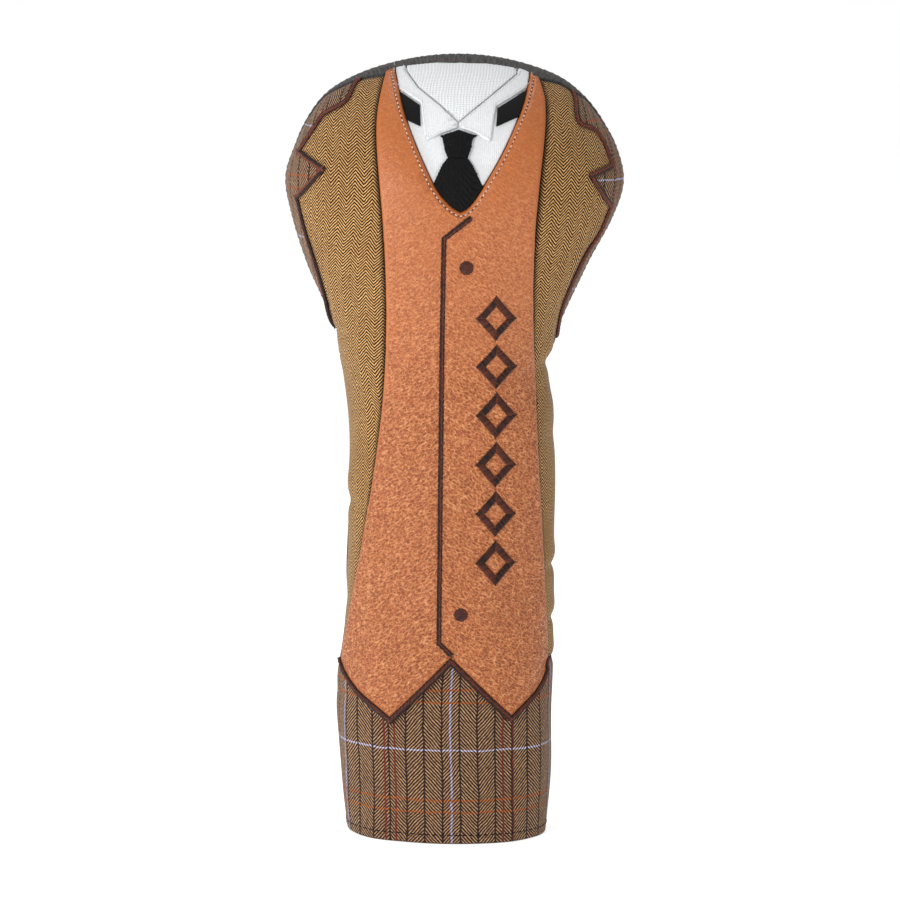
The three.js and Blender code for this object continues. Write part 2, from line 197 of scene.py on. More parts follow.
# Slow waves of the stuffed cloth: depth, waves round the body, spacing up it, and start.
WAVES = [(0.22, 5.3, 17, 0.6), (0.16, 9.1, -11, 2), (0.12, 3.7, 6.5, 4)]

# The body's surface -------------------------------------------------------------------------

# The crown closes like a ball, so the columns are faired over the root of the height below it.
ROOT = np.linspace(0, math.sqrt(CROWN_TOP), 4000)


def fair(values, at_top):
    """One column of the stations, as a smooth curve over ROOT."""
    knots = np.append(np.sqrt(CROWN_TOP - STATIONS[:, 0]), 0)[::-1]
    values = np.append(values, at_top)[::-1]
    step = np.diff(knots)
    rise = np.diff(values) / step
    slope = np.empty(len(knots))
    slope[1:-1] = (step[1:] * rise[:-1] + step[:-1] * rise[1:]) / (step[1:] + step[:-1])
    slope[0], slope[-1] = rise[0], rise[-1]
    i = np.clip(np.searchsorted(knots, ROOT) - 1, 0, len(knots) - 2)
    h = step[i]
    w = (ROOT - knots[i]) / h
    return ((2 * w ** 3 - 3 * w ** 2 + 1) * values[i] + (w ** 3 - 2 * w ** 2 + w) * h * slope[i]
            + (3 * w ** 2 - 2 * w ** 3) * values[i + 1] + (w ** 3 - w ** 2) * h * slope[i + 1])


WIDTH = fair(STATIONS[:, 1], 0)
FRONT = fair(STATIONS[:, 2], 0)
BACK = fair(STATIONS[:, 3], 0)
SHIFT = fair(STATIONS[:, 4], 2.4)
RISE = np.append(0, np.cumsum(np.hypot(np.diff(ROOT ** 2), np.diff((WIDTH + FRONT) / 2))))
RISE = RISE[-1] - RISE  # length up the cloth from the hem


def root_of(z):
    return np.sqrt(np.maximum(CROWN_TOP - np.asarray(z, float), 0))


def column(values, z):
    return np.interp(root_of(z), ROOT, values)


def column_slope(values, z):
    """How a column changes with height."""
    root = np.maximum(root_of(z), 0.05)
    by_root = np.gradient(values, ROOT)
    return -np.interp(root, ROOT, by_root) / (2 * root)


def rise_of(z):
    return column(RISE, z)


def height_of(rise):
    return CROWN_TOP - np.interp(-np.asarray(rise, float), -RISE, ROOT) ** 2


def unevenness(turn, z):
    """How far the stuffed cloth stands off the even body; turn is 0 in front and pi behind."""
    side = np.sin(turn)
    out = np.zeros(np.broadcast(turn, z).shape)
    for sign, height, depth, spread in NIPS:
        off_side = 1 - sign * side
        around = depth * np.exp(-(off_side / NIP_REACH) ** 2)
        slant = z - height + 5 * off_side
        out -= around * np.exp(-(slant / spread) ** 2)
        # The cloth swells above each nip.
        out += 0.35 * around * np.exp(-((slant - 2.4 * spread) / (1.6 * spread)) ** 2)
    # Gathers stand in a belt round each elastic row, and the row itself is sunk.
    behind = np.clip(-np.cos(turn), 0, 1) ** 0.5
    for height in ELASTIC_ROWS.values():
        gathers = np.sin(turn * GATHERS + 1.3 * np.sin(turn * 7 + height) + 0.03 * z)
        out += behind * (GATHER_DEPTH * gathers * np.exp(-((z - height) / 12) ** 2)
                         - ROW_DEPTH * np.exp(-((z - height) / 5) ** 2))
    for depth, waves, spacing, start in WAVES:
        out += depth * np.sin(turn * waves + z / spacing + start)
    return out * np.clip((CROWN_TOP - z) / 25, 0, 1)


def unit(vectors):
    return vectors / np.linalg.norm(vectors, axis=-1, keepdims=True)


def oval(turn, width, depth):
    """A level's outline: how far each turn lies to the side and to the front."""
    s, c = np.sin(turn), np.cos(turn)
    power = 2 / ROUNDNESS
    return width * np.sign(s) * np.abs(s) ** power, depth * np.sign(c) * np.abs(c) ** power


def lay(turn, z, out=0.0):
    """Points on the body, out from its surface, and the directions straight out of it."""
    turn, z = np.broadcast_arrays(np.asarray(turn, float), np.asarray(z, float))
    width, shift = np.maximum(column(WIDTH, z), 1e-6), column(SHIFT, z)
    s, c = np.sin(turn), np.cos(turn)
    facing = c > 0
    depth = np.maximum(np.where(facing, column(FRONT, z), column(BACK, z)), 1e-6)
    x, ahead = oval(turn, width, depth)
    power = 2 - 2 / ROUNDNESS
    normal_x = np.sign(s) * np.abs(s) ** power / width
    normal_y = -np.sign(c) * np.abs(c) ** power / depth
    depth_slope = np.where(facing, column_slope(FRONT, z), column_slope(BACK, z))
    normal_z = (-(s ** 2 * column_slope(WIDTH, z) / width + c ** 2 * depth_slope / depth)
                - normal_x * column_slope(SHIFT, z))
    normal = unit(np.stack([normal_x, normal_y, normal_z], -1))
    away = np.asarray(out, float) + unevenness(turn, z)
    return np.stack([x + shift, -ahead, z], -1) + normal * away[..., None], normal


def turn_of(x, z):
    """The turn at which the front stands over a point of the front view."""
    u = np.clip((np.asarray(x, float) - column(SHIFT, z)) / column(WIDTH, z), -1, 1)
    return np.arcsin(np.sign(u) * np.abs(u) ** (ROUNDNESS / 2))


def gusset_reach(z, behind):
    return np.interp(z, *GUSSET_REACH[behind])


def gusset_turn(z, behind):
    """How far round from the middle of the front, or of the back, the leather strip begins."""
    depth = np.maximum(column(BACK if behind else FRONT, z), 1e-6)
    return np.arccos(np.clip(gusset_reach(z, behind) / depth, 0, 1) ** (ROUNDNESS / 2))


# Length round each level from the middle of the front and of the back: the cloth's own width.
LEVELS = np.linspace(0.05, ROOT[-1], 160)
TURNS = np.linspace(-HALF_TURN, HALF_TURN, 481)


def girth_table(behind):
    level = CROWN_TOP - LEVELS ** 2
    depth = column(BACK if behind else FRONT, level)[:, None]
    width = column(WIDTH, level)[:, None]
    x, y = oval(TURNS, width, depth)
    length = np.cumsum(np.hypot(np.diff(x, axis=1), np.diff(y, axis=1)), axis=1)
    length = np.hstack([np.zeros((len(LEVELS), 1)), length])
    return length - length[:, [len(TURNS) // 2]]


GIRTHS = {False: girth_table(False), True: girth_table(True)}


def girth(turn, z, behind):
    """Length round the cloth from the middle, by bilinear look-up."""
    row = np.clip((root_of(z) - LEVELS[0]) / (LEVELS[1] - LEVELS[0]), 0, len(LEVELS) - 1.001)
    col = np.clip((turn - TURNS[0]) / (TURNS[1] - TURNS[0]), 0, len(TURNS) - 1.001)
    i, j = row.astype(int), col.astype(int)
    a, b = row - i, col - j
    table = GIRTHS[behind]
    return ((1 - a) * ((1 - b) * table[i, j] + b * table[i, j + 1])
            + a * ((1 - b) * table[i + 1, j] + b * table[i + 1, j + 1]))


# Seam lines ---------------------------------------------------------------------------------

MESH_STEP = 1.5
SEAM_STEP = 0.9
BESIDE_SEAM = (0.13, 0.4, 0.8, 1.4, 2.1)  # rows of points that round each seam's edge
TURN_SCALE = 50.0  # one turn's share of the flat pattern, so that its triangles come out even
CROWN_LIMIT = CROWN_TOP - 0.3  # seams and pieces end just under the crown's tip


def drawn(line):
    """A line of the front view as runs of points on the body, cut off where it leaves it."""
    points = [np.asarray(line[0], float)]
    for a, b in zip(line[:-1], line[1:]):
        count = max(1, math.ceil(np.linalg.norm(np.subtract(b, a)) / (SEAM_STEP * 0.9)))
        points += [np.add(a, np.subtract(b, a) * k / count) for k in range(1, count + 1)]
    points = np.array(points)
    x, z = points.T
    # A point at the very side has no turn of its own in the front view.
    on = (np.abs(x - column(SHIFT, z)) < column(WIDTH, z) * 0.9995) & (z < CROWN_LIMIT)
    runs, start = [], None
    for i, here in enumerate(np.append(on, False)):
        if here and start is None:
            start = i
        if not here and start is not None:
            if i - start > 1:
                runs.append(np.stack([turn_of(x[start:i], z[start:i]), z[start:i]], -1))
            start = None
    return runs


def closed(line):
    return np.vstack([line, line[:1]])


def rim_lines(behind):
    """The lines round half of the cover: its hem, its sides and the leather strip's edge."""
    side_heights = np.linspace(0, THROAT_SEAM, 226)
    crown = slice(0, 1200)  # the columns' first part, over which the depth only grows
    depth = (BACK if behind else FRONT)[crown]
    top = CROWN_TOP - np.interp(GUSSET_REACH[behind][1][-1], depth, ROOT[crown]) ** 2
    edge_heights = CROWN_TOP - np.linspace(root_of(THROAT_SEAM), root_of(top), 200) ** 2
    edge = gusset_turn(edge_heights, behind)
    edge[-1] = 0
    over = np.vstack([
        np.stack([-edge, edge_heights], -1), np.stack([edge, edge_heights], -1)[::-1][1:],
    ])
    sides = [np.stack([np.full_like(side_heights, turn), side_heights], -1)
             for turn in (-HALF_TURN, HALF_TURN)]
    return [level_line(0, 140), *sides, over]


def level_line(z, count=150):
    turns = np.linspace(-HALF_TURN, HALF_TURN, count)
    return np.stack([turns, np.full_like(turns, z)], -1)


def to_pattern(points):
    return np.stack([points[..., 0] * TURN_SCALE, rise_of(points[..., 1])], -1)


def on_body(pattern):
    return pattern[..., 0] / TURN_SCALE, height_of(pattern[..., 1])


def stretch_of(pattern, behind):
    """Millimetres of cloth for each unit across the flat pattern."""
    turn, z = on_body(pattern)
    step = 0.01
    ahead = np.clip(turn + step, -HALF_TURN, HALF_TURN)
    return np.maximum((girth(ahead, z, behind) - girth(turn, z, behind)) / step / TURN_SCALE, 0.3)


def near_tree(points):
    tree = kdtree.KDTree(len(points))
    for i, p in enumerate(points):
        tree.insert((*p[:3], 0) if len(p) == 2 else p, i)
    tree.balance()
    return tree


def cut_cloth(lines, behind):
    """Triangles over half of the body, with every seam line running along their sides."""
    seams = [to_pattern(line) for line in lines]
    points, edges, beside = [], [], []
    for seam in seams:
        first = sum(len(p) for p in points)
        points.append(seam)
        edges += [(first + i, first + i + 1) for i in range(len(seam) - 1)]
        stretch = stretch_of(seam, behind)
        along = np.gradient(seam, axis=0) * np.stack([stretch, np.ones(len(seam))], -1)
        along /= np.maximum(np.linalg.norm(along, axis=1, keepdims=True), 1e-9)
        across = np.stack([-along[:, 1] / stretch, along[:, 0]], -1)
        for distance in BESIDE_SEAM:
            for way in (-1, 1):
                beside.append((seam + across * way * distance, distance))
    on_seams = np.vstack(points)
    seam_tree = near_tree(on_seams)
    top, side = rise_of(CROWN_TOP - 0.4), HALF_TURN * TURN_SCALE
    # A point that would crowd another seam is left out.
    kept = [p for row, distance in beside for p in row
            if abs(p[0]) < side and 0 < p[1] < top
            and seam_tree.find((*p, 0))[2] > 0.72 * distance]
    for k, v in enumerate(np.arange(MESH_STEP / 2, top, MESH_STEP * 0.87)):
        kept += [(a, v) for a in np.arange(-side + MESH_STEP * (0.5 + (k % 2) / 2), side, MESH_STEP)
                 if seam_tree.find((a, v, 0))[2] > BESIDE_SEAM[-1] + 0.5]
    everything = [Vector(p) for p in np.vstack([on_seams, np.array(kept)])]
    coords, _, faces, *_ = delaunay_2d_cdt(everything, edges, [], 0, 1e-4)
    pattern = np.array([tuple(c) for c in coords])
    return pattern, np.array([f[:3] for f in faces])


def inside(points, outline):
    """Which points of the front view lie inside an outline."""
    x, z = points[:, 0], points[:, 1]
    crossed = np.zeros(len(points), bool)
    for (x1, z1), (x2, z2) in zip(outline, np.roll(outline, -1, axis=0)):
        if z1 != z2:
            between = (z1 > z) != (z2 > z)
            crossed ^= between & (x < (x2 - x1) * (z - z1) / (z2 - z1) + x1)
    return crossed


def distance_to(line, points):
    """How far points of the front view lie from a line."""
    best = np.full(len(points), 1e9)
    for a, b in zip(line[:-1], line[1:]):
        a, step = np.asarray(a, float), np.subtract(b, a)
        share = np.clip((points - a) @ step / max(step @ step, 1e-9), 0, 1)
        best = np.minimum(best, np.linalg.norm(points - a - share[:, None] * step, axis=1))
    return best


# Sewn pieces --------------------------------------------------------------------------------


def part(points, faces, finish, uv=None, **attributes):
    """A part of a piece: its points in millimetres, its faces, its finish and what it stores."""
    return {"points": np.asarray(points, float), "faces": [tuple(map(int, f)) for f in faces],
            "finish": finish, "uv": uv, "attributes": attributes}


def patch(half, chosen, layer, edge_radius, finish, detail=None, squareness=2.0):
    """One piece of cloth or leather: the chosen triangles as a closed skin with rounded edges."""
    pattern, triangles, behind = half
    used, flat = np.unique(triangles[chosen], return_inverse=True)
    faces = flat.reshape(-1, 3)
    pattern = pattern[used]
    turn, z = on_body(pattern)
    facing = turn + (math.pi if behind else 0)
    points, normal = lay(facing, z)
    corner = points[faces]
    wound = np.cross(corner[:, 1] - corner[:, 0], corner[:, 2] - corner[:, 0])
    turned = (wound * normal[faces[:, 0]]).sum(1) < 0
    faces[turned] = faces[turned][:, ::-1]
    sides = faces[:, [0, 1, 1, 2, 2, 0]].reshape(-1, 2)
    _, first, count = np.unique(np.sort(sides, axis=1), axis=0, return_index=True,
                                return_counts=True)
    border = sides[first[count == 1]]
    steps = np.linspace(0, 1, 6, endpoint=False)[:, None, None]  # samples along each side
    tree = near_tree((points[border[:, 0]] * (1 - steps)
                      + points[border[:, 1]] * steps).reshape(-1, 3))
    reach = np.array([tree.find(p)[2] for p in points])
    inner, outer = layer
    share = np.clip(reach / edge_radius, 0, 1)
    rounded = (1 - (1 - share) ** squareness) ** (1 / squareness)
    height = inner + 0.1 + (outer - inner - 0.1) * rounded
    if detail is not None:
        height = height + detail(points[:, [0, 2]], reach) * share
    top, _ = lay(facing, z, height)
    under, _ = lay(facing, z, inner)
    below = len(used)
    walls = [(q, p, below + p, below + q) for p, q in border]
    all_faces = faces.tolist() + (below + faces[:, ::-1]).tolist() + walls
    uv = np.stack([girth(turn, z, behind), pattern[:, 1]], -1)
    return part(np.vstack([top, under]), all_faces, finish, uv=np.vstack([uv, uv]),
                edge=np.append(reach, reach))


def shell_faces(rows, cols):
    """Faces of a closed shell over a grid of outer points that the inner ones follow."""
    index = np.arange(rows * cols).reshape(rows, cols)
    a, b, c, d = index[:-1, :-1], index[:-1, 1:], index[1:, 1:], index[1:, :-1]
    faces = np.stack([a, b, c, d], -1).reshape(-1, 4).tolist()
    under = rows * cols
    faces += [[under + i for i in reversed(f)] for f in faces]
    rim = np.concatenate([index[0, :-1], index[:-1, -1], index[-1, :0:-1], index[:0:-1, 0]])
    return faces + [[p, under + p, under + q, q] for p, q in zip(rim, np.roll(rim, -1))]


def half_shell(behind, bottom, top, layer, finish, step=3.0):
    """Half of an inner layer, as a closed shell between two heights."""
    inner, outer = layer
    turns = np.linspace(-HALF_TURN, HALF_TURN, 44) * 0.998  # clear of the other half
    low, high = rise_of(bottom), rise_of(min(top, CROWN_TOP - 0.05))
    heights = height_of(np.linspace(low, high, max(3, round((high - low) / step))))
    turn, z = np.meshgrid(turns, heights)
    facing = turn + (math.pi if behind else 0)
    skins = [lay(facing, z, out)[0].reshape(-1, 3) for out in (outer, inner)]
    uv = np.stack([girth(turn, z, behind), rise_of(z)], -1).reshape(-1, 2)
    return part(np.vstack(skins), shell_faces(*turn.shape), finish, uv=np.vstack([uv, uv]))


# Thread -------------------------------------------------------------------------------------

random = np.random.default_rng(7)
ROW_PHASE = 0.37  # how far on each row of stitches starts, as a share of a stitch


def lengths_along(points):
    """How far along a line each of its points lies."""
    return np.append(0, np.cumsum(np.linalg.norm(np.diff(points, axis=0), axis=1)))


def looked_up(values, length, at):
    """Rows of values, known at lengths along a line, at other lengths along it."""
    return np.stack([np.interp(at, length, v) for v in values.T], -1)


def ways_along(points, normal):
    """The directions along a line on the body, and sideways from it."""
    tangent = unit(np.gradient(points, axis=0))
    return tangent, unit(np.cross(normal, tangent))


def path_on(line, out, step):
    """A line of the front view laid on the body: points, straight-out directions and lengths."""
    run = max(drawn(line), key=len)
    # What would lie under the leather strip is left out.
    under_strip = (run[:, 1] > THROAT_SEAM) & (np.abs(run[:, 0]) > gusset_turn(run[:, 1], False))
    run = run[~under_strip] if (~under_strip).sum() > 2 else run[:3]
    points, normal = lay(run[:, 0], run[:, 1], out)
    length = lengths_along(points)
    at = np.linspace(0, length[-1], max(2, round(length[-1] / step)))
    return looked_up(points, length, at), looked_up(normal, length, at), at


def stitch_set(place, along, out, size, tone):
    return {"place": place, "along": along, "out": out,
            "size": np.broadcast_to(size, place.shape), "tone": tone}


def row_of_stitches(line, out, pitch, size, lanes, slant=0.0):
    """Stitches that run along a line, side by side in lanes of (sideways, rise, tone)."""
    points, normal, at = path_on(line, out, 0.3)
    tangent, side = ways_along(points, normal)
    sets = []
    # Each stitch is a little off its place, its direction and its lane's tone.
    for k, (sideways, rise, tone) in enumerate(lanes):
        where = np.arange(pitch * (0.5 + ROW_PHASE * k % 1) % pitch, at[-1], pitch)
        where = where + random.uniform(-0.08, 0.08, len(where)) * pitch
        centre, up, across, ahead = (looked_up(values, at, where)
                                     for values in (points, normal, side, tangent))
        beyond = np.maximum(where - at[-1], 0)
        centre = centre + ahead * beyond[:, None] + across * sideways + up * rise
        lean = slant + random.uniform(-0.05, 0.05, len(where))
        direction = ahead * np.cos(lean)[:, None] + across * np.sin(lean)[:, None]
        sets.append(stitch_set(centre, direction, up, size,
                               np.clip(tone + random.uniform(-0.16, 0.16, len(where)), 0, 1)))
    return sets


def hatch(outline, angle, spacing, length, out, thickness, tone, dome):
    """Fill stitches over an outline of the front view, in rows at an angle, from edge to edge."""
    outline = np.asarray(outline, float)
    turn = np.array([[math.cos(angle), -math.sin(angle)], [math.sin(angle), math.cos(angle)]])
    local = outline @ turn  # rows run along local x
    middle = local.mean(0)
    radius = np.abs(local - middle).max()
    rows = np.arange(local[:, 1].min() + spacing / 2, local[:, 1].max(), spacing)
    centres, lengths = [], []
    for k, level in enumerate(rows):
        cuts = []
        for a, b in zip(local, np.roll(local, -1, axis=0)):
            if (a[1] > level) != (b[1] > level):
                cuts.append(a[0] + (b[0] - a[0]) * (level - a[1]) / (b[1] - a[1]))
        cuts.sort()
        for left, right in zip(cuts[::2], cuts[1::2]):
            stops = [left]
            if length:
                first, shortest = left + length * ((k * ROW_PHASE) % 1), 0.3 * length
                stops += [s for s in np.arange(first, right, length)
                          if s - left > shortest and right - s > shortest]
            stops.append(right)
            for s, e in zip(stops[:-1], stops[1:]):
                centres.append(((s + e) / 2, level))
                lengths.append(e - s)
    centres, lengths = np.array(centres), np.array(lengths)
    flat = centres @ turn.T
    step = np.array([math.cos(angle), math.sin(angle)]) * 0.3
    off_middle = np.linalg.norm(centres - middle, axis=1) / radius
    rise = out + dome * np.clip(1 - off_middle ** 2, 0, 1)
    place, normal = lay(turn_of(*flat.T), flat[:, 1], rise)
    ahead, behind = (lay(turn_of(*at.T), at[:, 1], rise)[0] for at in (flat + step, flat - step))
    tones = np.clip(tone + random.uniform(-0.2, 0.2, len(place)), 0, 1)
    # Stitches overlap their neighbours a little.
    size = np.stack([lengths * 1.06 + 0.1, np.full(len(place), spacing * 1.35),
                     np.full(len(place), thickness)], -1)
    return [stitch_set(place, ahead - behind, normal, size, tones)]


def add(tree, kind, inputs=None, **settings):
    """Adds a node with its settings and links: an input takes a value, a node or a socket."""
    node = tree.nodes.new(kind)
    for name, value in settings.items():
        setattr(node, name, value)
    for name, value in (inputs or {}).items():
        if isinstance(value, bpy.types.Node):
            value = value.outputs[0]
        if isinstance(value, bpy.types.NodeSocket):
            tree.links.new(value, node.inputs[name])
        else:
            node.inputs[name].default_value = value
    return node


def stitch_tree():
    """Geometry Nodes: one stitch of plump thread at every point, lying the way that it is told."""
    tree = bpy.data.node_groups.new("lay_stitches", "GeometryNodeTree")
    face = tree.interface
    face.new_socket("Geometry", in_out="INPUT", socket_type="NodeSocketGeometry")
    for name, kind, value in (("Plumpness", "NodeSocketFloat", 1.0),
                              ("Unevenness", "NodeSocketFloat", 0.12),
                              ("Facets round", "NodeSocketInt", 7),
                              ("Facets along", "NodeSocketInt", 5),
                              ("Seed", "NodeSocketInt", 3)):
        face.new_socket(name, in_out="INPUT", socket_type=kind).default_value = value
    face.new_socket("Thread", in_out="INPUT", socket_type="NodeSocketMaterial")
    face.new_socket("Geometry", in_out="OUTPUT", socket_type="NodeSocketGeometry")
    given = add(tree, "NodeGroupInput")
    stored = {name: add(tree, "GeometryNodeInputNamedAttribute", {"Name": name},
                        data_type="FLOAT_VECTOR") for name in ("along", "out", "size")}
    facing = add(tree, "FunctionNodeAxesToRotation", {
        "Primary Axis": stored["along"], "Secondary Axis": stored["out"],
    }, primary_axis="X", secondary_axis="Z")
    spread = add(tree, "FunctionNodeRandomValue", {"Seed": given.outputs["Seed"]},
                 data_type="FLOAT")
    for socket in spread.inputs:
        if socket.enabled and socket.name in ("Min", "Max"):
            socket.default_value = -1.0 if socket.name == "Min" else 1.0
    vary = add(tree, "ShaderNodeMath", {
        0: [o for o in spread.outputs if o.enabled][0], 1: given.outputs["Unevenness"],
        2: given.outputs["Plumpness"],
    }, operation="MULTIPLY_ADD")
    fatness = add(tree, "ShaderNodeCombineXYZ", {"X": 1.0, "Y": vary, "Z": vary})
    scale = add(tree, "ShaderNodeVectorMath", {0: stored["size"], 1: fatness}, operation="MULTIPLY")
    ball = add(tree, "GeometryNodeMeshUVSphere", {
        "Segments": given.outputs["Facets round"], "Rings": given.outputs["Facets along"],
        "Radius": 0.5,
    })
    on_end = add(tree, "GeometryNodeTransform", {"Geometry": ball, "Rotation": (0, HALF_TURN, 0)})
    placed = add(tree, "GeometryNodeInstanceOnPoints", {
        "Points": given.outputs["Geometry"], "Instance": on_end, "Rotation": facing, "Scale": scale,
    })
    real = add(tree, "GeometryNodeRealizeInstances", {"Geometry": placed})
    smooth = add(tree, "GeometryNodeSetShadeSmooth", {"Geometry": real})
    coloured = add(tree, "GeometryNodeSetMaterial", {
        "Geometry": smooth, "Material": given.outputs["Thread"],
    })
    add(tree, "NodeGroupOutput", {0: coloured})
    return tree


STITCHES = stitch_tree()


def sewn(sets, thread):
    """Runs the stitch tree over sets of stitches and gives the thread as a part of a piece."""
    joined = {key: np.concatenate([s[key] for s in sets]) for key in sets[0]}
    mesh = bpy.data.meshes.new("stitch_points")
    mesh.from_pydata((joined["place"] / METRE).tolist(), [], [])
    joined["size"] = joined["size"] / METRE
    for name in ("along", "out", "size"):
        stored = mesh.attributes.new(name, "FLOAT_VECTOR", "POINT")
        stored.data.foreach_set("vector", joined[name].ravel())
    mesh.attributes.new("tone", "FLOAT", "POINT").data.foreach_set("value", joined["tone"])
    holder = bpy.data.objects.new("stitch_points", mesh)
    bpy.context.scene.collection.objects.link(holder)
    modifier = holder.modifiers.new("lay_stitches", "NODES")
    modifier.node_group = STITCHES
    sockets = {i.name: i.identifier for i in STITCHES.interface.items_tree if i.in_out == "INPUT"}
    modifier[sockets["Thread"]] = thread
    bpy.context.view_layer.update()
    made = bpy.data.meshes.new_from_object(
        holder.evaluated_get(bpy.context.evaluated_depsgraph_get()))
    points = np.empty(len(made.vertices) * 3)
    made.vertices.foreach_get("co", points)
    tone = np.empty(len(made.vertices))
    made.attributes["tone"].data.foreach_get("value", tone)
    faces = [tuple(p.vertices) for p in made.polygons]
    holder.modifiers.clear()
    bpy.data.objects.remove(holder)
    bpy.data.meshes.remove(mesh)
    bpy.data.meshes.remove(made)
    return part(points.reshape(-1, 3) * METRE, faces, thread, tone=tone)


def bead(line, width, low, high, out, finish):
    """A plump rounded core that lies along a line under its stitches."""
    points, normal, _ = path_on(line, out, 0.8)
    _, side = ways_along(points, normal)
    sides = 12
    angles = np.linspace(0, 2 * math.pi, sides, endpoint=False)
    middle, half = (low + high) / 2, (high - low) / 2
    rings = (points[:, None] + side[:, None] * (np.cos(angles) * width / 2)[None, :, None]
             + normal[:, None] * (middle + half * np.sin(angles))[None, :, None])
    count = len(points)
    faces = []
    for i in range(count - 1):
        for k in range(sides):
            a, b = i * sides + k, i * sides + (k + 1) % sides
            faces.append((a, b, b + sides, a + sides))
    last = (count - 1) * sides
    faces += [tuple(range(sides))[::-1], tuple(range(last, last + sides))]
    return part(rings.reshape(-1, 3), faces, finish, tone=np.full(count * sides, 0.1))


def corners_of(line):
    """The line in separate lengths, broken where it turns a sharp corner."""
    line = np.asarray(line, float)
    lengths, start = [], 0
    for i in range(1, len(line) - 1):
        a, b = unit(line[i] - line[i - 1]), unit(line[i + 1] - line[i])
        if math.degrees(math.acos(np.clip(a @ b, -1, 1))) > 28:
            lengths.append(line[start:i + 1])
            start = i
    lengths.append(line[start:])
    return lengths


def stretched(line, by):
    """The line made longer at both ends, so that lengths overlap at a corner."""
    line = np.array(line, float)
    line[0] += unit(line[0] - line[1]) * by
    line[-1] += unit(line[-1] - line[-2]) * by
    return line


# Finishes -----------------------------------------------------------------------------------


def linear(colour):
    """An sRGB hex colour as the linear values that a shader takes."""
    values = [int(colour[i:i + 2], 16) / 255 for i in (1, 3, 5)]
    return [v / 12.92 if v <= 0.04045 else ((v + 0.055) / 1.055) ** 2.4 for v in values] + [1.0]


def finish_base(name, settings):
    """A material whose shader has these plain settings."""
    material = bpy.data.materials.new(name)
    material.use_nodes = True
    tree = material.node_tree
    tree.nodes.clear()
    shader = add(tree, "ShaderNodeBsdfPrincipled", settings)
    add(tree, "ShaderNodeOutputMaterial", {"Surface": shader})
    return material, tree, shader


